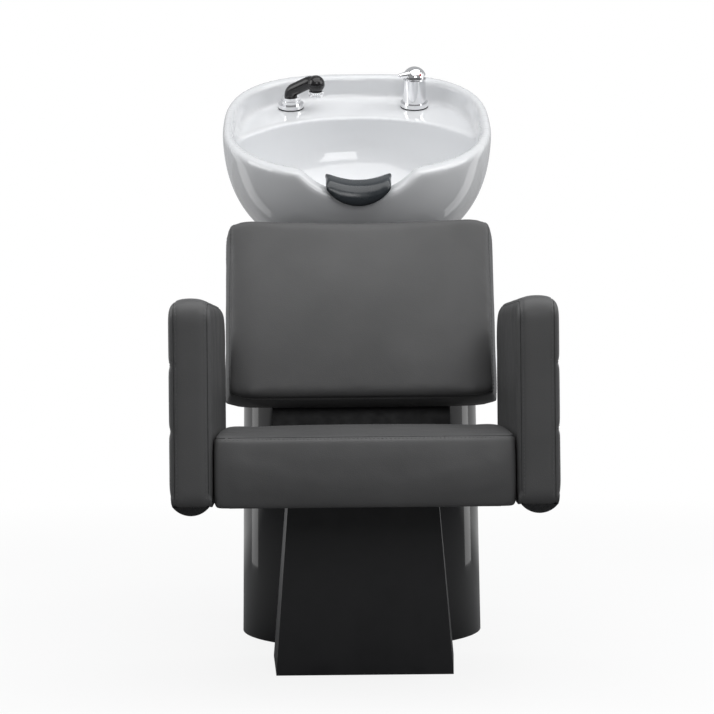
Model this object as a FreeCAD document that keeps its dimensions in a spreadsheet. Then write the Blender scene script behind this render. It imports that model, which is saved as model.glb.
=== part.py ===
"""A salon backwash unit: an armchair on a plinth, joined to a pedestal that carries a tilting ceramic bowl.

Millimetres. +Z is up, the sitter faces -Y, and the origin is on the floor under the middle of the unit.
"""

import FreeCAD, Part
import math
import os
from types import SimpleNamespace

from FreeCAD import Placement, Rotation, Vector

doc = FreeCAD.newDocument("backwash_unit")

# Driving dimensions

SIZES = [
    ("front_reach", 571.6, "origin to the front of the arms"),
    # Arms
    ("arm_span", 614, "over the outer faces of the arms"),
    ("arm_width", 68, "thickness of one arm"),
    ("arm_length", 458, "front to back"),
    ("arm_top", 640, "height of the arm's top above the floor"),
    ("arm_bottom", 316, "height of the arm's lower edge"),
    ("arm_corner", 30, "corner radius of the arm's front top, seen from the side"),
    ("arm_rear_corner", 60, "the same at its rear top"),
    ("arm_rear_drop", 20, "fall of the arm's top from front to rear"),
    ("arm_lower_corner", 20, "the same at its lower edge"),
    ("arm_roll", 14, "rolled-over padded edges"),
    ("arm_channel_radius", 6, "round of the sewn channels on the outer side"),
    ("arm_channel_depth", 2.5, "depth of the sewn channels"),
    ("arm_channel_upper", 538, "height of the upper sewn channel"),
    ("arm_channel_lower", 434, "height of the lower sewn channel"),
    ("arm_core_thickness", 18, "plywood core inside the arm"),
    ("arm_core_inset", 46, "core edge inside the arm's outline"),
    ("arm_cap_height", 14, "depth of the curved cap under the arm"),
    ("arm_cap_width", 58, "width of the cap under the arm"),
    ("arm_cap_inset", 12, "cap end inside the arm's end"),
    ("arm_bolt_radius", 4, "bolts that hold an arm to the seat board"),
    ("arm_bolt_first", 120, "first arm bolt behind the arm's front"),
    ("arm_bolt_pitch", 220, "distance between the two arm bolts"),
    ("arm_bolt_grip", 40, "bolt length inside the seat board"),
    # Seat
    ("seat_gap", 1, "air between the seat cushion and an arm"),
    ("seat_setback", 8, "seat front behind the arm's front"),
    ("seat_length", 446, "front to back"),
    ("seat_bottom", 311, "height of the seat's underside"),
    ("seat_front_height", 114, "underside to the top edge at the front"),
    ("seat_rear_drop", 18, "how much lower the rear of the seat is"),
    ("seat_crown", 10, "swell of the seat's top"),
    ("seat_front_swell", 5, "swell of the seat's front face"),
    ("seat_edge_round", 11, "rounded top edge of the seat"),
    ("seat_side_drop", 5, "how much lower the top is at the seat's sides"),
    ("seat_board_thickness", 18, "plywood board under the seat"),
    ("seat_board_inset", 24, "board edge inside the cushion's edge"),
    # Back rest
    ("back_side_air", 6, "air between the front of the back cushion and an arm"),
    ("back_flare", 13, "how much wider each side is at the rear of the cushion"),
    ("back_height", 335, "along the leaning cushion"),
    ("back_thickness", 90, "cushion thickness at its rim"),
    ("back_lean", 17, "lean of the back, degrees"),
    ("back_overlap", 30, "lower front edge ahead of the seat's rear end"),
    ("back_bottom", 462, "height of the lower front edge"),
    ("back_crown", 13, "swell of the cushion's front"),
    ("back_top_sag", 8, "how far the top edge draws in at its middle"),
    ("back_edge_round", 13, "rounded front edges of the cushion"),
    ("back_end_draw", 9, "how much thinner the cushion is at its ends"),
    ("back_board_thickness", 15, "plywood board behind the cushion"),
    ("back_board_inset", 34, "board edge inside the cushion's edge"),
    ("bracket_overhang", 25, "back rest's bent plate past each side of the foot's top"),
    ("bracket_thickness", 6, "bent plate"),
    ("bracket_foot", 110, "length of the plate under the seat board"),
    ("bracket_bolt_edge", 13, "bolt centres inside the plate's side edges"),
    ("bracket_rise", 200, "length of the plate behind the back board"),
    ("back_air", 6, "air between the back rest's bolts and the pedestal's sloping front"),
    ("bolt_radius", 4, "machine bolts of the frame"),
    ("bolt_head_radius", 7, "bolt heads"),
    ("bolt_head_height", 5, "bolt heads"),
    ("bolt_grip", 12, "bolt length inside a board"),
    # Front foot
    ("foot_setback", 285, "foot front behind the arm's front"),
    ("foot_depth", 193, "foot front to back at the floor"),
    ("foot_front_width", 300, "at the floor"),
    ("foot_rear_width", 320, "at the floor"),
    ("foot_top_front_width", 253, "under the seat plate"),
    ("foot_top_rear_width", 268, "under the seat plate"),
    ("foot_top_inset", 5, "how much the front and rear lean in at the top"),
    ("foot_wall", 3, "sheet thickness"),
    ("seat_plate_thickness", 6, "steel plate between foot and seat board"),
    ("seat_plate_width", 230, "left to right"),
    ("seat_plate_depth", 140, "front to back"),
    ("seat_column_side", 100, "square tube inside the foot"),
    ("seat_column_wall", 4, "tube wall"),
    ("bolt_spread_x", 170, "seat plate bolts, left to right"),
    ("bolt_spread_y", 60, "seat plate bolts, front to back"),
    # Base plate
    ("pad_height", 4, "rubber floor pads"),
    ("pad_radius", 20, "rubber floor pads"),
    ("pad_inset", 30, "pad centre inside the base plate's edge"),
    ("base_plate_thickness", 8, "steel plate that joins foot and pedestal"),
    ("base_plate_width", 180, "left to right"),
    ("base_plate_inset", 15, "plate's front edge behind the foot's front"),
    ("shell_clearance", 1, "air round the plate where a shell is notched over it"),
    # Pedestal
    ("pedestal_setback", 316, "centre of the pedestal's round front behind the seat's rear end"),
    ("pedestal_radius", 226.5, "round front at the floor"),
    ("pedestal_top_radius", 218, "round front at the top"),
    ("pedestal_tail", 240, "straight sides behind the round front"),
    ("pedestal_height", 700, "moulded shell"),
    ("pedestal_wall", 5, "moulded shell"),
    ("pedestal_flange", 32, "return flange at the open back"),
    ("pedestal_lid_thickness", 5, "lid on the pedestal"),
    ("pedestal_slot_width", 150, "slot in the lid for the bowl's carrier and waste"),
    ("pedestal_slot_front", 10, "slot's front edge behind the centre of the round front"),
    ("pedestal_slot_length", 212, "front to back"),
    ("panel_thickness", 4, "rear access panel"),
    ("panel_margin", 14, "panel edge inside the pedestal's outline"),
    ("pipe_notch_width", 140, "notch for the pipes in the access panel"),
    ("pipe_notch_height", 100, "notch for the pipes in the access panel"),
    ("screw_radius", 2.5, "access panel screws"),
    ("screw_head_radius", 6, "access panel screws"),
    ("screw_head_height", 3, "access panel screws"),
    ("screw_inset", 30, "screws above and below the panel's edges"),
    # Bowl carrier
    ("post_side", 60, "square tube that carries the bowl"),
    ("post_wall", 4, "tube wall"),
    ("fork_base_thickness", 8, "fork's base on the post"),
    ("fork_base_width", 124, "left to right"),
    ("fork_base_depth", 64, "front to back"),
    ("fork_ear_thickness", 8, "each ear of the fork"),
    ("fork_ear_width", 44, "front to back"),
    ("tilt_setback", 498, "tilt pin behind the seat's rear end"),
    ("tilt_height", 745, "tilt pin above the floor"),
    ("tilt_pin_radius", 8, "tilt pin"),
    ("pin_clearance", 0.05, "running fit of the tilt pin"),
    ("lug_width", 70, "bowl bracket's lug between the ears"),
    ("lug_gap", 0.5, "air between the lug and an ear"),
    ("lug_radius", 18, "round end of the lug"),
    ("pin_nut_radius", 13, "nuts on the ends of the tilt pin"),
    ("pin_nut_height", 10, "nuts on the ends of the tilt pin"),
    ("pin_end", 3, "tilt pin outside its nuts"),
    ("bracket_plate_thickness", 6, "plate under the bowl"),
    ("bracket_plate_width", 160, "left to right"),
    ("bracket_plate_depth", 84, "front to back"),
    ("bowl_bolt_spread", 120, "bolts that hold the plate to the bowl"),
    # Bowl, in the plane of its rim
    ("bowl_setback", 391, "middle of the rim behind the seat's rear end"),
    ("rim_height", 973.5, "middle of the rim above the floor"),
    ("rim_tilt", 23.8, "slope of the rim, degrees"),
    ("rim_half_width", 261, "outside of the rim"),
    ("rim_front", 295, "middle of the rim to its front"),
    ("rim_rear", 295, "middle of the rim to its rear"),
    ("rim_round", 7, "rounded edges of the rim"),
    ("bowl_drop", 240, "depth at which the round outside would close"),
    ("bowl_fullness", 2.5, "how full the outside is below the rim; 2 is an ellipse"),
    ("bowl_base", 205, "rim to the flat base"),
    ("lip_side", 19, "rim thickness at the sides"),
    ("lip_front", 38, "rim thickness at the front"),
    ("lip_rear", 26, "rim thickness at the rear"),
    ("basin_depth", 175, "rim to the floor of the basin"),
    ("basin_floor_radius", 72, "flat floor round the waste"),
    ("deck_depth", 46, "rim to the ledge that the taps stand on"),
    ("deck_half_width", 263, "curved front edge of the ledge, half width"),
    ("ledge_foot", 12, "middle of the rim to the foot of the ledge"),
    ("deck_rear", 150, "middle of the rim to the ledge at the centre"),
    ("deck_thickness", 16, "ceramic under the taps"),
    ("hollow_front", 74, "middle of the rim to the hollow under the ledge"),
    ("tap_hole_radius", 17, "holes in the ledge"),
    ("neck_half_width", 107, "neck notch in the front of the rim"),
    ("neck_dip", 45, "depth of the neck notch"),
    ("neck_roll", 20, "rolled edge of the neck notch"),
    ("neck_pad_half_width", 66, "soft neck pad"),
    ("neck_pad_round", 70, "round lower edge of the neck pad"),
    ("neck_pad_thickness", 24, "soft neck pad, on top of the lip"),
    ("neck_pad_wall", 12, "soft neck pad, in front of the lip and behind it"),
    ("neck_pad_apron", 10, "length of pad that hangs in front"),
    ("neck_pad_seat", 0.3, "air between the soft pad and the notch it lies in"),
    ("neck_pad_clearance", 1, "air between the pad and the upright front of the lip"),
    ("neck_pad_hook", 6, "air between the pad and the lip's inner side"),
    # Waste
    ("drain_front", 80, "waste in front of the rim's middle"),
    ("drain_hole_radius", 24, "hole in the bowl"),
    ("drain_flange_radius", 36, "flange in the basin"),
    ("drain_flange_height", 3, "flange in the basin"),
    ("drain_sleeve_radius", 23.7, "sleeve through the bowl"),
    ("drain_bore_radius", 19, "bore of the sleeve"),
    ("drain_sleeve_length", 58, "sleeve below the flange"),
    ("drain_socket", 15, "tail pipe inside the sleeve"),
    ("drain_gasket_height", 3, "rubber ring under the bowl"),
    ("drain_nut_radius", 34, "ring nut under the bowl"),
    ("drain_nut_height", 12, "ring nut under the bowl"),
    ("drain_tail_radius", 16, "tail pipe"),
    ("drain_tail_wall", 2, "tail pipe"),
    ("drain_tail_length", 50, "tail pipe below the sleeve"),
    ("strainer_radius", 18.6, "hair strainer"),
    ("strainer_rim_radius", 23, "hair strainer's rim on the flange"),
    ("strainer_height", 14, "hair strainer"),
    ("strainer_wall", 1.5, "hair strainer"),
    ("strainer_hole_radius", 2, "hair strainer"),
    ("strainer_knob_radius", 4, "hair strainer"),
    # Mixer tap
    ("tap_rear", 212, "taps behind the rim's middle"),
    ("mixer_side", 120, "mixer to the right of the middle"),
    ("tap_gasket_height", 2.5, "rubber ring under a tap"),
    ("mixer_base_radius", 28, "foot of the mixer"),
    ("mixer_base_height", 8, "foot of the mixer"),
    ("mixer_radius", 23.5, "column of the mixer"),
    ("mixer_height", 58, "gasket to the top of the column"),
    ("mixer_ball_radius", 20.5, "ball under the lever"),
    ("lever_wall", 3.2, "lever cap over the ball"),
    ("lever_gap", 0.4, "running gap of the lever and the ball"),
    ("lever_reach", 36, "lever's tip from the mixer's axis"),
    ("lever_tip_radius", 4.5, "rounded tip of the lever"),
    ("lever_heading", 215, "direction of the lever's tip, degrees from +X"),
    ("lever_slope", 6, "rise of the lever, degrees"),
    ("lever_root", 9, "lever's axis above the ball's centre, at the ball"),
    ("lever_root_radius", 11, "thick end of the lever"),
    ("lever_lift", 20, "how far the lever lifts, degrees"),
    ("stem_radius", 3, "stem of the lever inside the ball"),
    ("stem_low", 8, "end of the stem above the ball's centre"),
    ("stem_gap", 0.5, "air round the stem in the ball's slot"),
    ("skirt_rise", 6, "middle of the cap's lower edge above the ball's centre"),
    ("skirt_slope", 10, "slope of the cap's lower edge, degrees"),
    ("indicator_slope", 32, "mark above the ball's middle, degrees"),
    ("cartridge_radius", 15, "cartridge in the column"),
    ("cartridge_height", 30, "cartridge in the column"),
    ("tap_nut_radius", 28, "nuts under the ledge"),
    ("tap_nut_height", 8, "nuts under the ledge"),
    ("tap_shank_radius", 16, "threaded shanks through the ledge"),
    ("tap_shank_length", 46, "shanks below the ledge"),
    ("tap_tail_radius", 5, "supply stubs"),
    ("tap_tail_length", 26, "supply stubs below the shank"),
    ("indicator_radius", 3, "hot and cold mark on the lever"),
    ("indicator_depth", 1.2, "hot and cold mark on the lever"),
    # Hand spray
    ("spray_side", 132, "spray to the left of the middle"),
    ("holder_radius", 26, "flange of the spray holder"),
    ("holder_flange_height", 7, "flange of the spray holder"),
    ("holder_neck_radius", 20, "neck of the spray holder"),
    ("holder_height", 15, "gasket to the top of the holder"),
    ("holder_bore_radius", 12, "bore of the spray holder"),
    ("spigot_radius", 11.6, "end of the spray that stands in the holder"),
    ("spigot_length", 30, "end of the spray that stands in the holder"),
    ("collar_radius", 18.5, "ring under the handle"),
    ("collar_height", 7, "ring under the handle"),
    ("swivel_radius", 8, "stub of the handle inside the collar"),
    ("swivel_length", 18, "bore of the collar for that stub"),
    ("swivel_gap", 0.4, "air between the collar and the handle"),
    ("nipple_step", 2.5, "hose nipple, smaller than the spigot"),
    ("nipple_length", 18, "hose nipple below the spigot"),
    ("nipple_bore", 6, "hose nipple"),
    ("handle_radius", 13, "handle of the spray"),
    ("handle_bend", 16, "radius of the handle's lower bend"),
    ("handle_rise", 1.5, "straight part under the lower bend"),
    ("handle_lean", 60, "angle of the lower bend, degrees"),
    ("handle_run", 36, "straight part between the bends"),
    ("crook_bend", 18, "radius of the bend behind the spray's head"),
    ("crook_turn", 60, "angle of that bend, degrees"),
    ("handle_heading", -25, "direction of the handle, degrees from +X"),
    ("head_radius", 18, "round head of the spray"),
    ("nozzle_radius", 14, "nozzle"),
    ("nozzle_length", 11, "nozzle, part of it inside the head"),
    ("nozzle_rib_radius", 1.1, "ring round the nozzle's mouth"),
]

sheet = doc.addObject("Spreadsheet::Sheet", "Sizes")
for row, (alias, number, note) in enumerate(SIZES, start=1):
    sheet.set(f"A{row}", alias)
    sheet.set(f"B{row}", str(number))
    sheet.setAlias(f"B{row}", alias)
    sheet.set(f"C{row}", note)
doc.recompute()


class Size:
    """A measure that knows its value and the sheet expression that gives it."""

    def __init__(self, value, text):
        self.value = value
        self.text = text

    def __float__(self):
        return self.value

    def __add__(self, other):
        other = sized(other)
        return Size(self.value + other.value, f"({self.text} + {other.text})")

    def __sub__(self, other):
        other = sized(other)
        return Size(self.value - other.value, f"({self.text} - {other.text})")

    def __mul__(self, other):
        other = sized(other)
        return Size(self.value * other.value, f"({self.text} * {other.text})")

    def __truediv__(self, other):
        other = sized(other)
        return Size(self.value / other.value, f"({self.text} / {other.text})")

    def __neg__(self):
        return Size(-self.value, f"(-{self.text})")

    def __radd__(self, other):
        return sized(other) + self

    def __rsub__(self, other):
        return sized(other) - self

    def __rmul__(self, other):
        return sized(other) * self


def sized(number):
    """The number as a Size, if it isn't one already."""
    if isinstance(number, Size):
        return number
    return Size(float(number), repr(float(number)))


def sine(angle):
    return Size(math.sin(math.radians(angle.value)), f"sin({angle.text})")


def cosine(angle):
    return Size(math.cos(math.radians(angle.value)), f"cos({angle.text})")


size = SimpleNamespace(**{alias: Size(float(sheet.get(alias)), f"Sizes.{alias}") for alias, _, _ in SIZES})

# Helpers

pieces = []


def keep(obj, label):
    """Name an object as one sub-part of the unit."""
    obj.Label = label
    pieces.append(obj)
    return obj


def bind(obj, **sizes):
    """Bind properties of an object to sheet expressions."""
    for name, value in sizes.items():
        obj.setExpression(name, sized(value).text)
    return obj


def put(obj, at, turn=None):
    """Place an object, its position bound to the sheet."""
    if turn is not None:
        obj.Placement.Rotation = turn
    for axis, value in zip("xyz", at):
        obj.setExpression(f"Placement.Base.{axis}", sized(value).text)
    return obj


def box(length, width, height, at, turn=None):
    """A box from its low corner."""
    obj = doc.addObject("Part::Box", "box")
    return put(bind(obj, Length=length, Width=width, Height=height), at, turn)


def centred_box(length, width, height, at, turn=None):
    """A box from the middle of its underside, square to the frame."""
    x, y, z = at
    return box(length, width, height, (x - sized(length) / 2, y - sized(width) / 2, z), turn)


def cylinder(radius, height, at, turn=None):
    obj = doc.addObject("Part::Cylinder", "cylinder")
    return put(bind(obj, Radius=radius, Height=height), at, turn)


def cone(low_radius, high_radius, height, at, turn=None):
    obj = doc.addObject("Part::Cone", "cone")
    return put(bind(obj, Radius1=low_radius, Radius2=high_radius, Height=height), at, turn)


def ball(radius, at, turn=None):
    obj = doc.addObject("Part::Sphere", "ball")
    return put(bind(obj, Radius=radius), at, turn)


def nut(radius, height, at, turn=None):
    """A six-sided prism with the given corner radius."""
    obj = doc.addObject("Part::Prism", "nut")
    obj.Polygon = 6
    return put(bind(obj, Circumradius=radius, Height=height), at, turn)


def fuse(*shapes):
    obj = doc.addObject("Part::MultiFuse", "fuse")
    obj.Shapes = list(shapes)
    obj.Refine = True
    return obj


def cut(base, *tools):
    obj = doc.addObject("Part::Cut", "cut")
    obj.Base = base
    obj.Tool = tools[0] if len(tools) == 1 else fuse(*tools)
    obj.Refine = True
    return obj


def group(*shapes):
    """Separate solids that make one sub-part."""
    obj = doc.addObject("Part::Compound", "group")
    obj.Links = list(shapes)
    return obj


def feature(shape, placement=None):
    """A sub-part whose form is drawn point by point from the sheet's sizes."""
    obj = doc.addObject("Part::Feature", "feature")
    obj.Shape = shape
    if placement is not None:
        obj.Placement = placement
    return obj


def y_at(depth):
    """Y of a point that lies this far behind the front of the arms."""
    return depth - size.front_reach


def line(start, end):
    return Part.LineSegment(start, end).toShape()


def bow(start, end, swell):
    """An arc from start to end that swells out by the given vector at its middle."""
    if swell.Length < 1e-6:
        return line(start, end)
    return Part.Arc(start, (start + end) * 0.5 + swell, end).toShape()


def padded_outline(corners, swells, radii):
    """A closed wire of bowed sides; the arc at the end of each side has its own length along that side."""
    count = len(corners)
    edges = []
    for index in range(count):
        here = corners[index]
        ahead = corners[(index + 1) % count]
        after = corners[(index + 2) % count]
        run = (ahead - here).normalize()
        turn = (after - ahead).normalize()
        length = radii[index]
        start = here + run * radii[index - 1]
        end = ahead - run * length
        edges.append(bow(start, end, swells[index]))
        half = (math.pi - run.getAngle(turn)) / 2
        radius = length * math.tan(half)
        middle = ahead + (turn - run).normalize() * (radius / math.sin(half) - radius)
        edges.append(Part.Arc(end, middle, ahead + turn * length).toShape())
    return Part.Wire(edges)


# Directions for cylinders along X and along Y
ALONG_X = Rotation(Vector(0, 1, 0), 90)
ALONG_Y = Rotation(Vector(1, 0, 0), -90)

# Depths behind the arm's front: what stands behind the seat goes by its rear end

seat_end = size.seat_setback + size.seat_length
back_depth = seat_end - size.back_overlap
pedestal_depth = seat_end + size.pedestal_setback
bowl_depth = seat_end + size.bowl_setback
tilt_depth = seat_end + size.tilt_setback

# Base plate and floor pads

base_plate_depth = size.foot_setback + size.base_plate_inset
base_plate_end = pedestal_depth + size.pedestal_tail - 3 * size.pedestal_wall
base_plate_length = base_plate_end - base_plate_depth
base_plate_top = size.pad_height + size.base_plate_thickness
base_plate_middle = y_at(base_plate_depth + base_plate_length / 2)
keep(centred_box(size.base_plate_width, base_plate_length, size.base_plate_thickness,
                 (0, base_plate_middle, size.pad_height)), "base_plate")

pad_x = size.base_plate_width / 2 - size.pad_inset
pad_front = y_at(base_plate_depth + size.pad_inset)
pad_rear = y_at(base_plate_end - size.pad_inset)
keep(group(*[cylinder(size.pad_radius, size.pad_height, (side * pad_x, y, 0))
             for side in (-1, 1) for y in (pad_front, pad_rear)]), "floor_pads")

# Seat column, seat plate and front foot

foot_height = size.seat_bottom - size.seat_plate_thickness
foot_middle = y_at(size.foot_setback + size.foot_depth / 2)
column_height = foot_height - base_plate_top
column_bore = size.seat_column_side - 2 * size.seat_column_wall
column_foot = (0, foot_middle, base_plate_top)
keep(cut(centred_box(size.seat_column_side, size.seat_column_side, column_height, column_foot),
         centred_box(column_bore, column_bore, column_height, column_foot)), "seat_column")

seat_bolts_at = [(side * size.bolt_spread_x / 2, foot_middle + end * size.bolt_spread_y / 2)
                 for side in (-1, 1) for end in (-1, 1)]
seat_bolt_length = size.seat_plate_thickness + size.bolt_grip


def seat_bolt_shanks():
    return [cylinder(size.bolt_radius, seat_bolt_length, (x, y, foot_height)) for x, y in seat_bolts_at]


keep(cut(centred_box(size.seat_plate_width, size.seat_plate_depth, size.seat_plate_thickness,
                     (0, foot_middle, foot_height)), *seat_bolt_shanks()), "seat_plate")
seat_bolt_low = foot_height - size.bolt_head_height
seat_bolt_heads = [nut(size.bolt_head_radius, size.bolt_head_height, (x, y, seat_bolt_low))
                   for x, y in seat_bolts_at]
keep(group(*[fuse(head, shank) for head, shank in zip(seat_bolt_heads, seat_bolt_shanks())]),
     "seat_plate_bolts")


def foot_wire(level, wall):
    """The foot's four-sided outline at a height, drawn in by a wall thickness."""
    share = level / foot_height.value
    front = (size.foot_front_width.value * (1 - share) + size.foot_top_front_width.value * share) / 2 - wall
    rear = (size.foot_rear_width.value * (1 - share) + size.foot_top_rear_width.value * share) / 2 - wall
    inset = size.foot_top_inset.value * share + wall
    near = y_at(size.foot_setback).value + inset
    far = y_at(size.foot_setback + size.foot_depth).value - inset
    points = [Vector(-front, near, level), Vector(front, near, level), Vector(rear, far, level),
              Vector(-rear, far, level)]
    return Part.makePolygon(points + points[:1])


def foot_solid(wall):
    return Part.makeLoft([foot_wire(0, wall), foot_wire(foot_height.value, wall)], True, True)


foot_notch = centred_box(size.base_plate_width + 2 * size.shell_clearance, size.foot_depth, base_plate_top,
                         (0, y_at(size.foot_setback + size.foot_depth), 0))
keep(cut(feature(foot_solid(0)), feature(foot_solid(size.foot_wall.value)), foot_notch), "front_foot")

# Pedestal: moulded shell, lid and rear access panel


def pedestal_wire(radius, level, inset, back_inset):
    """The pedestal's plan: a round front with straight sides to a flat back."""
    reach = radius - inset
    centre = Vector(0, y_at(pedestal_depth).value, level)
    back = y_at(pedestal_depth + size.pedestal_tail).value - back_inset
    left = centre - Vector(reach, 0, 0)
    right = centre + Vector(reach, 0, 0)
    nose = centre - Vector(0, reach, 0)
    back_right = Vector(reach, back, level)
    back_left = Vector(-reach, back, level)
    front = Part.Arc(left, nose, right).toShape()
    return Part.Wire([front, line(right, back_right), line(back_right, back_left), line(back_left, left)])


def behind_back(shape, wall):
    """The part of a shape that lies behind the leaning back rest, with a wall thickness between."""
    lean = Rotation(Vector(1, 0, 0), -size.back_lean.value)
    reach = 2 * size.pedestal_height.value
    room = size.back_thickness + size.bracket_thickness + size.bolt_head_height + size.back_air
    block = Part.makeBox(reach, reach, 2 * reach, Vector(-reach / 2, -reach, -reach))
    start = Vector(0, y_at(back_depth).value, size.back_bottom.value)
    block.Placement = Placement(start + lean.multVec(Vector(0, room.value + wall, 0)), lean)
    return shape.cut(block)


def pedestal_solid(inset, back_inset):
    low = pedestal_wire(size.pedestal_radius.value, 0, inset, back_inset)
    high = pedestal_wire(size.pedestal_top_radius.value, size.pedestal_height.value, inset, back_inset)
    return behind_back(Part.makeLoft([low, high], True, True), inset)


pedestal_back = y_at(pedestal_depth + size.pedestal_tail)
pedestal_opening = 2 * (size.pedestal_top_radius - size.pedestal_flange)
shell_front_notch = centred_box(size.base_plate_width + 2 * size.shell_clearance, size.pedestal_radius,
                                base_plate_top, (0, y_at(pedestal_depth - size.pedestal_radius), 0))
shell_back_opening = centred_box(pedestal_opening, 4 * size.pedestal_wall, size.pedestal_height,
                                 (0, pedestal_back, 0))

screw_x = size.pedestal_top_radius - size.pedestal_flange / 2 - size.panel_margin / 4
screws_at = [(side * screw_x, height) for side in (-1, 1)
             for height in (size.panel_margin + size.screw_inset,
                            size.pedestal_height - size.panel_margin - size.screw_inset)]


def panel_screw_shanks():
    return [cylinder(size.screw_radius, size.pedestal_wall + size.panel_thickness,
                     (x, pedestal_back - size.pedestal_wall, z), ALONG_Y) for x, z in screws_at]


shell_skin = cut(feature(pedestal_solid(0, 0)),
                 feature(pedestal_solid(size.pedestal_wall.value, size.pedestal_wall.value)))
keep(cut(shell_skin, shell_front_notch, shell_back_opening, *panel_screw_shanks()), "pedestal_shell")

lid_wire = pedestal_wire(size.pedestal_top_radius.value, size.pedestal_height.value, 0, 0)
lid_sheet = Part.Face(lid_wire).extrude(Vector(0, 0, size.pedestal_lid_thickness.value))
lid_blank = feature(behind_back(lid_sheet, 0))
slot_middle = y_at(pedestal_depth + size.pedestal_slot_front + size.pedestal_slot_length / 2)
lid_slot = centred_box(size.pedestal_slot_width, size.pedestal_slot_length, size.pedestal_lid_thickness,
                       (0, slot_middle, size.pedestal_height))
keep(cut(lid_blank, lid_slot), "pedestal_lid")

panel_width = 2 * (size.pedestal_top_radius - size.panel_margin / 2)
panel_height = size.pedestal_height - 2 * size.panel_margin
panel_blank = box(panel_width, size.panel_thickness, panel_height,
                  (-panel_width / 2, pedestal_back, size.panel_margin))
notch_round = size.pipe_notch_width / 2
notch_straight = size.pipe_notch_height - notch_round
keep(cut(panel_blank,
         box(size.pipe_notch_width, size.panel_thickness, notch_straight,
             (-notch_round, pedestal_back, size.panel_margin)),
         cylinder(notch_round, size.panel_thickness,
                  (0, pedestal_back, size.panel_margin + notch_straight), ALONG_Y),
         *panel_screw_shanks()), "rear_panel")
panel_face = pedestal_back + size.panel_thickness
screw_heads = [cylinder(size.screw_head_radius, size.screw_head_height, (x, panel_face, z), ALONG_Y)
               for x, z in screws_at]
keep(group(*[fuse(head, shank) for head, shank in zip(screw_heads, panel_screw_shanks())]),
     "rear_panel_screws")

# Seat board and seat cushion

seat_width = size.arm_span - 2 * size.arm_width - 2 * size.seat_gap
seat_front = y_at(size.seat_setback)
board_width = seat_width - 2 * size.seat_board_inset
board_length = size.seat_length - 2 * size.seat_board_inset
board_middle = seat_front + size.seat_length / 2
arm_middle = (size.arm_span - size.arm_width) / 2
arm_bolt_height = size.seat_bottom + 0.6 * size.seat_board_thickness
arm_bolt_end = board_width / 2 - size.arm_bolt_grip
arm_bolt_length = arm_middle - arm_bolt_end


def arm_bolts(side):
    """The two bolts that run from an arm's core into the seat board."""
    start = arm_bolt_end if side > 0 else -arm_middle
    return [cylinder(size.arm_bolt_radius, arm_bolt_length, (start, y_at(depth), arm_bolt_height), ALONG_X)
            for depth in (size.arm_bolt_first, size.arm_bolt_first + size.arm_bolt_pitch)]


bracket_width = size.foot_top_rear_width + 2 * size.bracket_overhang
bracket_leg_x = bracket_width / 2 - size.bracket_bolt_edge
bracket_bolts_at = [(side * bracket_leg_x, y_at(depth)) for side in (-1, 1)
                    for depth in (seat_end - 0.3 * size.bracket_foot, seat_end - 0.75 * size.bracket_foot)]


def bracket_foot_shanks():
    return [cylinder(size.bolt_radius, size.bracket_thickness + size.bolt_grip,
                     (x, y, size.seat_bottom - size.bracket_thickness)) for x, y in bracket_bolts_at]


seat_board_blank = centred_box(board_width, board_length, size.seat_board_thickness,
                               (0, board_middle, size.seat_bottom))
keep(cut(seat_board_blank, *seat_bolt_shanks(), *bracket_foot_shanks(), *arm_bolts(-1), *arm_bolts(1)),
     "seat_board")


# Where a cushion's cross-sections lie, as shares of its half width from the end to just short of the middle
STATIONS = [1.0, 0.97, 0.92, 0.84, 0.7, 0.5, 0.25]


def drawn_in(share):
    """How much a cushion's section shrinks at a station: all of it at the end, none from 0.75 inwards."""
    return max(0.0, (share - 0.75) / 0.25) ** 2.5


def swelling(share):
    """How much of a cushion's crown a station has: part of it at the end, all of it in the middle."""
    return 1 - 0.6 * share ** 3


def lengthwise_loft(half, section):
    """A cushion lofted from one end to the other through the section drawn at each station."""
    shares = [-share for share in STATIONS] + [0.0] + STATIONS[::-1]
    return Part.makeLoft([section(half * share, abs(share)) for share in shares], True, False)


def seat_section(x, share):
    """The seat's side view at x: flat below, swelling in front and on top."""
    inset = size.seat_side_drop.value * drawn_in(share)
    swell = size.seat_front_swell.value
    near = seat_front.value + swell + inset
    far = seat_front.value + size.seat_length.value - inset
    low = size.seat_bottom.value
    front_top = low + size.seat_front_height.value - inset
    rear_top = front_top - size.seat_rear_drop.value
    corners = [Vector(x, near, low), Vector(x, far, low), Vector(x, far, rear_top),
               Vector(x, near, front_top)]
    crown = size.seat_crown.value * swelling(share)
    swells = [Vector(0, 0, 0), Vector(0, 0, 0), Vector(0, 0, crown), Vector(0, -swell, 0)]
    radius = size.seat_edge_round.value
    return padded_outline(corners, swells, [radius / 2, radius, radius, radius / 2])


board_recess = centred_box(board_width, board_length, size.seat_board_thickness,
                           (0, board_middle, size.seat_bottom))
seat_solid = lengthwise_loft(seat_width.value / 2, seat_section)
keep(cut(feature(seat_solid), board_recess, *arm_bolts(-1), *arm_bolts(1)), "seat_cushion")

# Arms: plywood core, upholstered pad, cap below


def arm_outline(x):
    """The arm's side view at x: rounded corners and a top that falls to the rear."""
    near = y_at(sized(0)).value
    far = y_at(size.arm_length).value
    low = size.arm_bottom.value
    high = size.arm_top.value
    rear_high = high - size.arm_rear_drop.value
    corners = [Vector(x, near, low), Vector(x, far, low), Vector(x, far, rear_high), Vector(x, near, high)]
    flat = [Vector(0, 0, 0)] * 4
    lower = size.arm_lower_corner.value
    return padded_outline(corners, flat, [lower, size.arm_rear_corner.value, size.arm_corner.value, lower])


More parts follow.
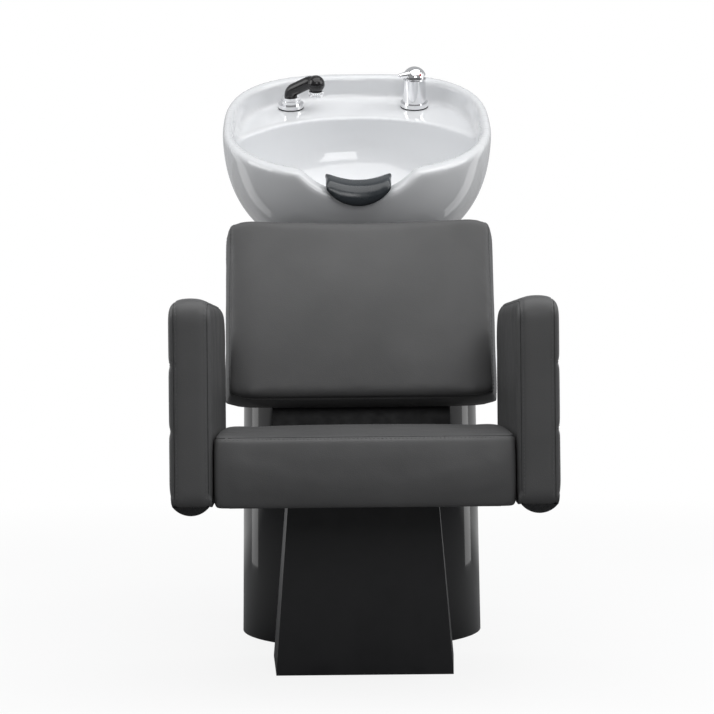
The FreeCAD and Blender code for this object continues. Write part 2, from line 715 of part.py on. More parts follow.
def arm_pad_solid(side):
    """The arm's outline pulled across its width, its edges rolled over."""
    inner = size.arm_span.value / 2 - size.arm_width.value
    blank = Part.Face(arm_outline(side * inner)).extrude(Vector(side * size.arm_width.value, 0, 0))
    rims = [edge for edge in blank.Edges if edge.BoundBox.XLength < 0.001]
    return blank.makeFillet(size.arm_roll.value, rims)


core_front = y_at(size.arm_core_inset)
core_length = size.arm_length - 2 * size.arm_core_inset
core_height = size.arm_top - size.arm_core_inset - size.arm_bottom
cap_radius = (size.arm_cap_width * size.arm_cap_width / 4 + size.arm_cap_height * size.arm_cap_height) \
    / (2 * size.arm_cap_height)
cap_length = size.arm_length - 2 * size.arm_cap_inset


def arm_core_box(x):
    return box(size.arm_core_thickness, core_length, core_height,
               (x - size.arm_core_thickness / 2, core_front, size.arm_bottom))


def arm_cap(x):
    """A flat-topped strip with a round underside."""
    low = size.arm_bottom - size.arm_cap_height
    rod = cylinder(cap_radius, cap_length, (x, y_at(size.arm_cap_inset), low + cap_radius), ALONG_Y)
    strip = doc.addObject("Part::Common", "strip")
    strip.Base = rod
    strip.Tool = box(size.arm_cap_width, cap_length, size.arm_cap_height,
                     (x - size.arm_cap_width / 2, y_at(size.arm_cap_inset), low))
    return strip


def arm_channels(side):
    """The rods that press the sewn channels into an arm's outer face."""
    x = side * (size.arm_span / 2 + size.arm_channel_radius - size.arm_channel_depth)
    return [cylinder(size.arm_channel_radius, size.arm_length, (x, y_at(sized(0)), height), ALONG_Y)
            for height in (size.arm_channel_upper, size.arm_channel_lower)]


for name, side in (("left", -1), ("right", 1)):
    arm_x = side * arm_middle
    keep(cut(arm_core_box(arm_x), *arm_bolts(side)), f"{name}_arm_core")
    keep(cut(feature(arm_pad_solid(side)), arm_core_box(arm_x), *arm_channels(side), *arm_bolts(side)),
         f"{name}_arm_pad")
    keep(arm_cap(arm_x), f"{name}_arm_cap")
keep(group(*arm_bolts(-1), *arm_bolts(1)), "arm_bolts")

# Back rest: bent bracket, plywood board, cushion

lean = Rotation(Vector(1, 0, 0), -size.back_lean.value)


def on_back(x, through, up):
    """A point given from the back's lower front edge: through its thickness and up along its lean."""
    y = y_at(back_depth) + through * cosine(size.back_lean) + up * sine(size.back_lean)
    z = size.back_bottom - through * sine(size.back_lean) + up * cosine(size.back_lean)
    return sized(x), y, z


back_width = size.arm_span - 2 * size.arm_width - 2 * size.back_side_air
back_board_width = back_width - 2 * size.back_board_inset
back_board_height = size.back_height - 2 * size.back_board_inset
back_board_face = size.back_thickness - size.back_board_thickness
bracket_low = size.seat_bottom - size.bracket_thickness
bracket_start = (bracket_low - size.back_bottom + (size.back_thickness + size.bracket_thickness)
                 * sine(size.back_lean)) / cosine(size.back_lean)
bracket_bend_y = on_back(0, size.back_thickness + size.bracket_thickness, bracket_start)[1]
bracket_top = size.back_board_inset + size.bracket_rise
bracket_plate = box(bracket_width, size.bracket_thickness, bracket_top - bracket_start,
                    on_back(-bracket_width / 2, size.back_thickness, bracket_start), lean)
bracket_foot_front = y_at(seat_end - size.bracket_foot)
bracket_sole = box(bracket_width, bracket_bend_y - bracket_foot_front, size.bracket_thickness,
                   (-bracket_width / 2, bracket_foot_front, bracket_low))
plate_rear = foot_middle + size.seat_plate_depth / 2 + size.shell_clearance
bracket_slot_width = size.seat_plate_width + 2 * size.shell_clearance
bracket_slot = box(bracket_slot_width, plate_rear - bracket_foot_front, size.bracket_thickness,
                   (-bracket_slot_width / 2, bracket_foot_front, bracket_low))
back_bolts_at = [(side * 0.4 * bracket_width, size.back_board_inset + share * size.bracket_rise)
                 for side in (-1, 1) for share in (0.25, 0.8)]


def back_bolt_shanks():
    reach = size.bracket_thickness + size.back_board_thickness
    return [cylinder(size.bolt_radius, reach, on_back(x, back_board_face, up), lean.multiply(ALONG_Y))
            for x, up in back_bolts_at]


keep(cut(fuse(bracket_plate, bracket_sole), bracket_slot, *bracket_foot_shanks(), *back_bolt_shanks()),
     "back_bracket")
foot_heads = [nut(size.bolt_head_radius, size.bolt_head_height, (x, y, bracket_low - size.bolt_head_height))
              for x, y in bracket_bolts_at]
back_heads = [nut(size.bolt_head_radius, size.bolt_head_height,
                  on_back(x, size.back_thickness + size.bracket_thickness, up), lean.multiply(ALONG_Y))
              for x, up in back_bolts_at]
keep(group(*[fuse(head, shank) for head, shank in
             zip(foot_heads + back_heads, bracket_foot_shanks() + back_bolt_shanks())]), "back_bracket_bolts")


def back_board_box():
    return box(back_board_width, size.back_board_thickness, back_board_height,
               on_back(-back_board_width / 2, back_board_face, size.back_board_inset), lean)


keep(cut(back_board_box(), *back_bolt_shanks()), "back_board")


def back_section(x, share):
    """The back cushion's cross-section at x, wider at the rear, its front crowned and its top drawn in."""
    depth = size.back_thickness.value
    inset = size.back_end_draw.value * drawn_in(share)
    high = size.back_height.value - inset - size.back_top_sag.value * (1 - share ** 2)
    through = Vector(x * 2 * size.back_flare.value / back_width.value / depth, 1, 0)
    low_front = Vector(x, 0, inset) + through * inset
    low_rear = Vector(x, 0, inset) + through * depth
    rise = Vector(0, 0, high - inset)
    crown = size.back_crown.value * swelling(share)
    swells = [Vector(0, 0, -crown * 0.5), Vector(0, 0, 0), Vector(0, 0, crown * 0.2), through * -crown]
    radius = size.back_edge_round.value
    return padded_outline([low_front, low_rear, low_rear + rise, low_front + rise], swells,
                          [radius / 3, radius / 3, radius, radius])


back_place = Placement(Vector(*[float(value) for value in on_back(0, sized(0), sized(0))]), lean)
back_solid = lengthwise_loft(back_width.value / 2, back_section)
keep(cut(feature(back_solid, back_place), back_board_box()), "back_cushion")

# Bowl: drawn flat, its rim in the plane z = 0, then tipped back into place

bowl_turn = Rotation(Vector(1, 0, 0), size.rim_tilt.value)


def on_bowl(x, y, z):
    """A point given in the plane of the bowl's rim: right, towards the rear, and up from the rim."""
    y = sized(y)
    z = sized(z)
    along = y_at(bowl_depth) + y * cosine(size.rim_tilt) - z * sine(size.rim_tilt)
    up = size.rim_height + y * sine(size.rim_tilt) + z * cosine(size.rim_tilt)
    return sized(x), along, up


bowl_place = Placement(Vector(*[float(value) for value in on_bowl(0, 0, 0)]), bowl_turn)

OUTLINE_POINTS = 32
FRONT_SQUARENESS = 2.3
REAR_SQUARENESS = 2.8


def bowl_outline(half_width, front, rear, level, middle=0.0, rear_squareness=REAR_SQUARENESS):
    """A closed, rounded outline: fuller at the rear than at the front."""
    points = []
    for step in range(OUTLINE_POINTS):
        angle = 2 * math.pi * step / OUTLINE_POINTS
        across, along = math.cos(angle), math.sin(angle)
        power = 2 / (rear_squareness if along > 0 else FRONT_SQUARENESS)
        reach = rear - middle if along > 0 else front + middle
        points.append(Vector(half_width * math.copysign(abs(across) ** power, across),
                             middle + reach * math.copysign(abs(along) ** power, along), level))
    curve = Part.BSplineCurve()
    curve.interpolate(Points=points, PeriodicFlag=True)
    return Part.Wire([curve.toShape()])


def bowl_narrowing(depth):
    """The outside's width at a depth below the rim, as a share of its width at the rim."""
    fullness = size.bowl_fullness.value
    return (1 - (depth / size.bowl_drop.value) ** fullness) ** (1 / fullness)


def bowl_outside(inset, top, bottom):
    """The round outside of the bowl, drawn in by a wall thickness, between two depths below the rim."""
    wires = []
    for share in (0, 0.3, 0.55, 0.75, 0.9, 1):
        depth = top + (bottom - top) * share
        narrowing = bowl_narrowing(depth)
        wires.append(bowl_outline(size.rim_half_width.value * narrowing - inset,
                                  size.rim_front.value * narrowing - inset,
                                  size.rim_rear.value * narrowing - inset, -depth))
    return Part.makeLoft(wires, True, False)


# Steps round the quarter turn from the basin's upright walls to its flat floor, in degrees
WALL_STEPS = (0, 15, 30, 45, 60, 75, 90)
WALL_SQUARENESS = 2.4


def wall_curve(degrees):
    """Where a rounded wall has got to: how far in from the floor to the top, and how far down."""
    angle = math.radians(degrees)
    width_share = math.cos(angle) ** (2 / WALL_SQUARENESS) if degrees < 90 else 0.0
    return width_share, math.sin(angle) ** (2 / WALL_SQUARENESS)


def basin():
    """The whole hollow of the bowl, as if it had no ledge: round-walled from the lip to a flat floor."""
    half_width = size.rim_half_width.value - size.lip_side.value
    front = size.rim_front.value - size.lip_front.value
    rear = size.rim_rear.value - size.lip_rear.value
    floor = size.basin_floor_radius.value
    centre = -size.drain_front.value
    wires = [bowl_outline(half_width, front, rear, size.rim_round.value)]
    for degrees in WALL_STEPS:
        out, down = wall_curve(degrees)
        wires.append(bowl_outline(floor + (half_width - floor) * out,
                                  floor - centre + (front - floor + centre) * out,
                                  floor + centre + (rear - floor - centre) * out,
                                  -size.basin_depth.value * down, centre * (1 - out),
                                  REAR_SQUARENESS - (REAR_SQUARENESS - 2) * (1 - out)))
    return Part.makeLoft(wires, True, False)


def ledge_front(wall):
    """Everything in front of the ledge's curved face; a wall thickness moves the face to the rear."""
    low = size.ledge_foot.value
    half_width = size.deck_half_width.value + wall
    front = size.rim_front.value * 1.2
    high = size.rim_round.value
    wires = [bowl_outline(half_width, front, size.deck_rear.value + wall, high, -size.drain_front.value, 2.0)]
    for degrees in WALL_STEPS:
        out, down = wall_curve(degrees)
        level = -size.deck_depth.value - (size.basin_depth.value + wall + high - size.deck_depth.value) * down
        wires.append(bowl_outline(half_width, front, low + (size.deck_rear.value - low) * out + wall, level,
                                  -size.drain_front.value, 2.0))
    return Part.makeLoft(wires, True, False)


def hollow():
    """The basin with the tap ledge left standing at its rear."""
    reach = 2 * size.rim_rear.value
    above = Part.makeBox(2 * reach, 2 * reach, reach, Vector(-reach, -reach, -size.deck_depth.value))
    whole = basin()
    return whole.common(above).fuse(whole.common(ledge_front(0))).removeSplitter()


neck_radius = (size.neck_half_width * size.neck_half_width / size.neck_dip + size.neck_dip) / 2
neck_axis_height = neck_radius - size.neck_dip


def neck_cutter():
    """A rod across the front lip that leaves the notch for the neck."""
    start = Vector(0, -size.rim_front.value * 1.2, neck_axis_height.value)
    return Part.makeCylinder(neck_radius.value, size.rim_front.value * 0.6, start, Vector(0, 1, 0))


def rear_hollow():
    """The hollow under the ledge, open below, between the outside and the basin."""
    wall = size.deck_thickness.value
    top = size.deck_depth.value + wall
    inside = bowl_outside(wall, top, size.bowl_base.value + 1)
    start = Vector(-size.rim_half_width.value, size.hollow_front.value, -2 * size.bowl_base.value)
    rear_half = Part.makeBox(2 * size.rim_half_width.value, size.rim_rear.value, 2 * size.bowl_base.value, start)
    return inside.common(rear_half).cut(ledge_front(wall))


def is_rim(edge):
    """Whether an edge of the bare bowl runs round its lip or round the neck notch."""
    bounds = edge.BoundBox
    round_notch = bounds.YMax < -size.rim_front.value / 2 and bounds.ZMin > -size.neck_dip.value - 1
    return bounds.ZMin > -1 or (round_notch and bounds.ZLength > 1)


def bowl_solid():
    blank = bowl_outside(0, 0, size.bowl_base.value)
    blank = blank.cut(hollow())
    blank = blank.cut(neck_cutter())
    blank = blank.makeFillet(size.rim_round.value, [edge for edge in blank.Edges if is_rim(edge)])
    return blank.cut(rear_hollow())


# Waste: flange, gasket, ring nut, tail pipe and the loose strainer


def rod(radius, low, high, x, y, turn=None):
    """A cylinder in the bowl's frame between two levels."""
    return cylinder(radius, high - low, on_bowl(x, y, low), bowl_turn if turn is None else turn)


drain_y = -size.drain_front
basin_floor = -size.basin_depth
base_level = -size.bowl_base
drain_nut_top = base_level - size.drain_gasket_height
sleeve_end = basin_floor - size.drain_sleeve_length


def drain_rod(radius, low, high):
    return rod(radius, low, high, 0, drain_y)


flange_top = basin_floor + size.drain_flange_height
keep(cut(fuse(drain_rod(size.drain_flange_radius, basin_floor, flange_top),
              drain_rod(size.drain_sleeve_radius, sleeve_end, basin_floor)),
         drain_rod(size.drain_bore_radius, sleeve_end, flange_top)), "drain_flange")
keep(cut(drain_rod(size.drain_nut_radius, drain_nut_top, base_level),
         drain_rod(size.drain_sleeve_radius, drain_nut_top, base_level)), "drain_gasket")
drain_nut_low = drain_nut_top - size.drain_nut_height
keep(cut(nut(size.drain_nut_radius, size.drain_nut_height, on_bowl(0, drain_y, drain_nut_low), bowl_turn),
         drain_rod(size.drain_sleeve_radius, drain_nut_low, drain_nut_top)), "drain_nut")
tail_top = sleeve_end + size.drain_socket
tail_end = sleeve_end - size.drain_tail_length
keep(cut(fuse(drain_rod(size.drain_bore_radius, sleeve_end, tail_top),
              drain_rod(size.drain_tail_radius, tail_end, sleeve_end)),
         drain_rod(size.drain_tail_radius - size.drain_tail_wall, tail_end, tail_top)), "drain_tail")

strainer_low = flange_top - size.strainer_height
strainer_rim_top = flange_top + size.strainer_wall
strainer_floor = strainer_low + size.strainer_wall
strainer_holes = []
for count, share in ((6, 0.42), (12, 0.76)):
    for index in range(count):
        turn = 2 * math.pi * index / count
        reach = share * (size.strainer_radius - size.strainer_wall)
        strainer_holes.append(rod(size.strainer_hole_radius, strainer_low, strainer_floor,
                                  reach * math.cos(turn), drain_y + reach * math.sin(turn)))
strainer_cup = cut(fuse(drain_rod(size.strainer_radius, strainer_low, flange_top),
                        drain_rod(size.strainer_rim_radius, flange_top, strainer_rim_top)),
                   drain_rod(size.strainer_radius - size.strainer_wall, strainer_floor, strainer_rim_top),
                   *strainer_holes)
strainer_knob = drain_rod(size.strainer_knob_radius, strainer_low, strainer_rim_top)
keep(fuse(strainer_cup, strainer_knob), "drain_strainer")

# Tilting carrier: bracket under the bowl, pin, fork and post

pin_rise = size.tilt_height - size.rim_height
pin_run = size.tilt_setback - size.bowl_setback
pin_local_y = pin_run * cosine(size.rim_tilt) + pin_rise * sine(size.rim_tilt)
pin_local_z = pin_rise * cosine(size.rim_tilt) - pin_run * sine(size.rim_tilt)
pin_y = y_at(tilt_depth)
plate_low = base_level - size.bracket_plate_thickness
bowl_bolts_at = [(side * size.bowl_bolt_spread / 2, pin_local_y + end * 0.32 * size.bracket_plate_depth)
                 for side in (-1, 1) for end in (-1, 1)]


def bowl_bolt_shanks():
    return [rod(size.bolt_radius, plate_low, base_level + size.bolt_grip, x, y) for x, y in bowl_bolts_at]


def tilt_rod(radius, half_length):
    """A rod along the tilt axis, as long to the left as to the right."""
    return cylinder(radius, 2 * half_length, (-half_length, pin_y, size.tilt_height), ALONG_X)


bracket_blank = box(size.bracket_plate_width, size.bracket_plate_depth, size.bracket_plate_thickness,
                    on_bowl(-size.bracket_plate_width / 2, pin_local_y - size.bracket_plate_depth / 2,
                            plate_low), bowl_turn)
lug_block = box(size.lug_width, 2 * size.lug_radius, plate_low - pin_local_z,
                on_bowl(-size.lug_width / 2, pin_local_y - size.lug_radius, pin_local_z), bowl_turn)
keep(cut(fuse(bracket_blank, lug_block, tilt_rod(size.lug_radius, size.lug_width / 2)),
         tilt_rod(size.tilt_pin_radius + size.pin_clearance, size.lug_width), *bowl_bolt_shanks()),
     "bowl_bracket")
bowl_bolt_low = plate_low - size.bolt_head_height
bowl_bolt_heads = [nut(size.bolt_head_radius, size.bolt_head_height, on_bowl(x, y, bowl_bolt_low),
                       bowl_turn) for x, y in bowl_bolts_at]
keep(group(*[fuse(head, shank) for head, shank in zip(bowl_bolt_heads, bowl_bolt_shanks())]),
     "bowl_bracket_bolts")

post_top = size.pedestal_height + size.pedestal_lid_thickness + size.shell_clearance
post_height = post_top - base_plate_top
post_bore = size.post_side - 2 * size.post_wall
post_foot = (0, pin_y, base_plate_top)
keep(cut(centred_box(size.post_side, size.post_side, post_height, post_foot),
         centred_box(post_bore, post_bore, post_height, post_foot)), "bowl_post")

ear_inner = size.lug_width / 2 + size.lug_gap
ear_outer = ear_inner + size.fork_ear_thickness
fork_base_top = post_top + size.fork_base_thickness
fork_base = centred_box(size.fork_base_width, size.fork_base_depth, size.fork_base_thickness,
                        (0, pin_y, post_top))
fork_parts = [fork_base]
for start in (ear_inner, -ear_outer):
    fork_parts.append(box(size.fork_ear_thickness, size.fork_ear_width, size.tilt_height - fork_base_top,
                          (start, pin_y - size.fork_ear_width / 2, fork_base_top)))
    fork_parts.append(cylinder(size.fork_ear_width / 2, size.fork_ear_thickness,
                               (start, pin_y, size.tilt_height), ALONG_X))
keep(cut(fuse(*fork_parts), tilt_rod(size.tilt_pin_radius, ear_outer)), "tilt_fork")
pin_half_length = ear_outer + size.pin_nut_height + size.pin_end
keep(tilt_rod(size.tilt_pin_radius, pin_half_length), "tilt_pin")
keep(group(*[cut(nut(size.pin_nut_radius, size.pin_nut_height, (start, pin_y, size.tilt_height), ALONG_X),
                 tilt_rod(size.tilt_pin_radius, pin_half_length))
             for start in (ear_outer, -ear_outer - size.pin_nut_height)]), "tilt_nuts")

# Bowl with its holes, and the neck pad

deck = -size.deck_depth
deck_under = deck - size.deck_thickness


def tap_hole(x):
    return rod(size.tap_hole_radius, deck_under, deck, x, size.tap_rear)


keep(cut(feature(bowl_solid(), bowl_place), drain_rod(size.drain_hole_radius, base_level, basin_floor),
         tap_hole(size.mixer_side), tap_hole(-size.spray_side), *bowl_bolt_shanks()), "bowl")


def neck_pad_profile():
    """The pad's cross-section in front of the sitter's neck: over the lip, with an apron in front."""
    thick = size.neck_pad_thickness.value
    wall = size.neck_pad_wall.value
    rest = size.neck_pad_seat.value - size.neck_dip.value
    outside = -size.rim_front.value * bowl_narrowing(size.neck_dip.value) - size.neck_pad_clearance.value
    inside = -size.rim_front.value + size.lip_front.value + size.neck_pad_hook.value
    turn = size.rim_round.value + size.neck_pad_clearance.value
    low = rest - size.neck_pad_apron.value
    knee = rest - turn

    def at(y, z):
        return Vector(0, y, z)

    def rounded(start, end, corner):
        """An arc from start to end that rounds off a corner."""
        return Part.Arc(start, corner + (start - corner + end - corner) * (1 - math.sqrt(0.5)), end).toShape()

    return Part.Wire([
        line(at(outside, low), at(outside, knee)),
        rounded(at(outside, knee), at(outside + turn, rest), at(outside, rest)),
        line(at(outside + turn, rest), at(inside - turn, rest)),
        rounded(at(inside - turn, rest), at(inside, knee), at(inside, rest)),
        line(at(inside, knee), at(inside + wall, knee)),
        rounded(at(inside + wall, knee), at(inside - turn, rest + thick), at(inside + wall, rest + thick)),
        line(at(inside - turn, rest + thick), at(outside + turn, rest + thick)),
        rounded(at(outside + turn, rest + thick), at(outside - wall, knee), at(outside - wall, rest + thick)),
        line(at(outside - wall, knee), at(outside - wall, low)),
        line(at(outside - wall, low), at(outside, low)),
    ])


def neck_pad_solid():
    spread = math.degrees(math.asin(size.neck_pad_half_width.value / neck_radius.value))
    axis = Vector(0, 0, neck_axis_height.value)
    face = Part.Face(neck_pad_profile())
    face.rotate(axis, Vector(0, 1, 0), -spread)
    strip = face.revolve(axis, Vector(0, 1, 0), 2 * spread)
    reach = size.rim_front.value
    round_height = size.neck_pad_round.value - size.neck_pad_apron.value - size.neck_dip.value
    trim = Part.makeCylinder(size.neck_pad_round.value, 2 * reach, Vector(0, -2 * reach, round_height),
                             Vector(0, 1, 0))
    return strip.common(trim)


keep(feature(neck_pad_solid(), bowl_place), "neck_pad")

# Mixer tap: gasket, body with shank, nut, cartridge, ball and lever


def mixer_rod(radius, low, high):
    return rod(radius, low, high, size.mixer_side, size.tap_rear)


mixer_foot = deck + size.tap_gasket_height
mixer_top = mixer_foot + size.mixer_height
shank_end = deck - size.tap_shank_length
socket_radius = size.mixer_ball_radius + size.lever_gap
cartridge_top = mixer_top - socket_radius
cartridge_low = cartridge_top - size.cartridge_height
ball_centre = on_bowl(size.mixer_side, size.tap_rear, mixer_top)
keep(cut(mixer_rod(size.mixer_base_radius, deck, mixer_foot),
         mixer_rod(size.tap_shank_radius, deck, mixer_foot)), "mixer_gasket")
keep(cut(fuse(mixer_rod(size.mixer_base_radius, mixer_foot, mixer_foot + size.mixer_base_height),
              mixer_rod(size.mixer_radius, mixer_foot, mixer_top),
              mixer_rod(size.tap_shank_radius, shank_end, mixer_foot)),
         ball(socket_radius, ball_centre), mixer_rod(size.cartridge_radius, cartridge_low, mixer_top)),
     "mixer_body")
keep(mixer_rod(size.cartridge_radius, cartridge_low, cartridge_top), "mixer_cartridge")


def tap_nut(x):
    low = deck_under - size.tap_nut_height
    return cut(nut(size.tap_nut_radius, size.tap_nut_height, on_bowl(x, size.tap_rear, low), bowl_turn),
               rod(size.tap_shank_radius, low, deck_under, x, size.tap_rear))


keep(tap_nut(size.mixer_side), "mixer_nut")
keep(group(*[rod(size.tap_tail_radius, shank_end - size.tap_tail_length, shank_end,
                 size.mixer_side + side * 0.45 * size.tap_shank_radius, size.tap_rear) for side in (-1, 1)]),
     "mixer_tails")

lever_aim = math.radians(size.lever_heading.value)
lever_ahead = Vector(math.cos(lever_aim), math.sin(lever_aim), 0)
lever_across = Vector(-math.sin(lever_aim), math.cos(lever_aim), 0)
cap_radius_outer = socket_radius + size.lever_wall
lever_turned = bowl_turn.multiply(Rotation(lever_ahead, lever_across, Vector(0, 0, 1), "XYZ"))


def on_lever(ahead, across, up):
    """A point given from the ball's centre, along the lever, across it and up."""
    aim = size.lever_heading
    return on_bowl(size.mixer_side + ahead * cosine(aim) - across * sine(aim),
                   size.tap_rear + ahead * sine(aim) + across * cosine(aim), mixer_top + up)


stem = cylinder(size.stem_radius, cap_radius_outer - size.lever_wall / 2 - size.stem_low,
                on_lever(sized(0), sized(0), size.stem_low), lever_turned)
slot_side = size.stem_radius + size.stem_gap
slot_swing = size.mixer_ball_radius * sine(size.lever_lift) + slot_side
slot_low = size.stem_low * cosine(size.lever_lift) - slot_side
ball_slot = box(slot_swing + slot_side, 2 * slot_side, size.mixer_ball_radius,
                on_lever(-slot_swing, -slot_side, slot_low), lever_turned)
keep(cut(ball(size.mixer_ball_radius, ball_centre, lever_turned.multiply(ALONG_Y)), ball_slot), "mixer_ball")

lever_rise = Rotation(Vector(0, 1, 0), 90 - size.lever_slope.value)
lever_arm_turn = lever_turned.multiply(lever_rise)
lever_arm_length = size.lever_reach / cosine(size.lever_slope)
lever_tip = on_lever(size.lever_reach, sized(0), size.lever_root + size.lever_reach * sine(size.lever_slope)
                     / cosine(size.lever_slope))
lever_arm = cone(size.lever_root_radius, size.lever_tip_radius, lever_arm_length,
                 on_lever(sized(0), sized(0), size.lever_root), lever_arm_turn)
skirt_turn = lever_turned.multiply(Rotation(Vector(0, 1, 0), size.skirt_slope.value))
skirt_side = 4 * cap_radius_outer
skirt_back = skirt_side / 2 * cosine(size.skirt_slope) + skirt_side * sine(size.skirt_slope)
skirt_down = skirt_side * cosine(size.skirt_slope) - skirt_side / 2 * sine(size.skirt_slope)
skirt = box(skirt_side, skirt_side, skirt_side,
            on_lever(-skirt_back, -skirt_side / 2, size.skirt_rise - skirt_down), skirt_turn)
indicator_start = cap_radius_outer - size.indicator_depth
mark_turn = lever_turned.multiply(Rotation(Vector(1, 0, 0), size.indicator_slope.value - 90))


def indicator_rod():
    """A small disc let into the front of the lever's cap."""
    across = cosine(size.indicator_slope)
    up = sine(size.indicator_slope)
    return cylinder(size.indicator_radius, size.indicator_depth * 2,
                    on_lever(sized(0), indicator_start * across, indicator_start * up), mark_turn)


indicator_limit = doc.addObject("Part::Common", "indicator_limit")
indicator_limit.Base = indicator_rod()
indicator_limit.Tool = ball(cap_radius_outer, ball_centre)
lever_blank = fuse(ball(cap_radius_outer, ball_centre), lever_arm, ball(size.lever_tip_radius, lever_tip))
lever_shell = cut(lever_blank, ball(socket_radius, ball_centre), skirt, indicator_rod())
keep(fuse(lever_shell, stem), "mixer_lever")
keep(indicator_limit, "mixer_indicator")

# Hand spray: holder, collar with spigot, bent handle, head and nozzle


def spray_rod(radius, low, high):
    return rod(radius, low, high, -size.spray_side, size.tap_rear)


holder_foot = deck + size.tap_gasket_height
holder_top = holder_foot + size.holder_height
collar_top = holder_top + size.collar_height
spigot_end = holder_top - size.spigot_length
keep(cut(spray_rod(size.holder_radius, deck, holder_foot),
         spray_rod(size.tap_shank_radius, deck, holder_foot)), "spray_holder_gasket")
keep(cut(fuse(spray_rod(size.holder_radius, holder_foot, holder_foot + size.holder_flange_height),
              spray_rod(size.holder_neck_radius, holder_foot, holder_top),
              spray_rod(size.tap_shank_radius, shank_end, holder_foot)),
         spray_rod(size.holder_bore_radius, shank_end, holder_top)), "spray_holder")
keep(tap_nut(-size.spray_side), "spray_holder_nut")
swivel_bore = spray_rod(size.swivel_radius + size.pin_clearance, collar_top - size.swivel_length, collar_top)
keep(cut(fuse(spray_rod(size.collar_radius, holder_top, collar_top),
              spray_rod(size.spigot_radius, spigot_end, holder_top)), swivel_bore), "spray_collar")
keep(cut(spray_rod(size.spigot_radius - size.nipple_step, spigot_end - size.nipple_length, spigot_end),
         spray_rod(size.nipple_bore, spigot_end - size.nipple_length, spigot_end)), "spray_tail")

handle_aim = math.radians(size.handle_heading.value)
handle_back = Vector(-math.cos(handle_aim), -math.sin(handle_aim), 0)
handle_side = handle_back.cross(Vector(0, 0, 1))
handle_turned = bowl_turn.multiply(Rotation(handle_back, Vector(0, 0, 1), handle_side, "XYZ"))


def on_handle(ahead, up):
    """A point given from the middle of the collar's top, along the handle and up."""
    return on_bowl(ahead * cosine(size.handle_heading) - size.spray_side,
                   size.tap_rear + ahead * sine(size.handle_heading), collar_top + up)


handle_low = size.swivel_gap
bend_level = handle_low + size.handle_rise
run_ahead = size.handle_bend - size.handle_bend * cosine(size.handle_lean)
run_up = bend_level + size.handle_bend * sine(size.handle_lean)
crook_ahead = run_ahead + size.handle_run * sine(size.handle_lean)
crook_up = run_up + size.handle_run * cosine(size.handle_lean)
crook_centre_ahead = crook_ahead + size.crook_bend * cosine(size.handle_lean)
crook_centre_up = crook_up - size.crook_bend * sine(size.handle_lean)
crook_end = size.handle_lean + size.crook_turn
head_ahead = crook_centre_ahead - size.crook_bend * cosine(crook_end)
head_up = crook_centre_up + size.crook_bend * sine(crook_end)
lower_bend = doc.addObject("Part::Torus", "lower_bend")
bind(lower_bend, Radius1=size.handle_bend, Radius2=size.handle_radius, Angle3=size.handle_lean)
put(lower_bend, on_handle(size.handle_bend, bend_level), handle_turned)
crook = doc.addObject("Part::Torus", "crook")
bind(crook, Radius1=size.crook_bend, Radius2=size.handle_radius, Angle3=size.crook_turn)
put(crook, on_handle(crook_centre_ahead, crook_centre_up),
    handle_turned.multiply(Rotation(Vector(0, 0, 1), size.handle_lean.value)))
run = cylinder(size.handle_radius, size.handle_run, on_handle(run_ahead, run_up),
               handle_turned.multiply(Rotation(Vector(0, 0, 1), size.handle_lean.value)).multiply(ALONG_Y))
grip = cylinder(size.handle_radius, size.handle_rise, on_handle(sized(0), handle_low), bowl_turn)
swivel_low = handle_low - size.swivel_length + 2 * size.swivel_gap
swivel = cylinder(size.swivel_radius, handle_low - swivel_low, on_handle(sized(0), swivel_low), bowl_turn)
nozzle_top = head_up - size.head_radius * 0.8
nozzle_socket = cylinder(size.nozzle_radius, size.head_radius,
                         on_handle(head_ahead, nozzle_top - size.head_radius), bowl_turn)
head = ball(size.head_radius, on_handle(head_ahead, head_up))
keep(cut(fuse(grip, lower_bend, run, crook, swivel, head), nozzle_socket), "spray_handle")
nozzle_low = nozzle_top - size.nozzle_length
nozzle_tube = cylinder(size.nozzle_radius, size.nozzle_length, on_handle(head_ahead, nozzle_low), bowl_turn)
nozzle_bore = cone(size.nozzle_radius * 0.8, size.nozzle_radius * 0.55, size.nozzle_length * 0.4,
                   on_handle(head_ahead, nozzle_low), bowl_turn)
nozzle_ring = cylinder(size.nozzle_radius + size.nozzle_rib_radius, size.nozzle_length * 0.35,
                       on_handle(head_ahead, nozzle_low), bowl_turn)
keep(cut(fuse(nozzle_tube, nozzle_ring), nozzle_bore), "spray_nozzle")

# Check every object, then write one file for each sub-part

doc.recompute()
for obj in doc.Objects:
    if "Invalid" in obj.State or "Error" in obj.State:
        raise RuntimeError(f"{obj.Name} was not built")
os.makedirs("parts", exist_ok=True)
for obj in pieces:
    if obj.Shape.isNull() or not obj.Shape.isValid():
        raise RuntimeError(f"{obj.Label} has no valid shape")
for obj in pieces:
    obj.Shape.exportStep(f"parts/{obj.Label}.step")
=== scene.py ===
"""Backwash unit: upholstery, glazed bowl, fittings and studio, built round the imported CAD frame."""

import math

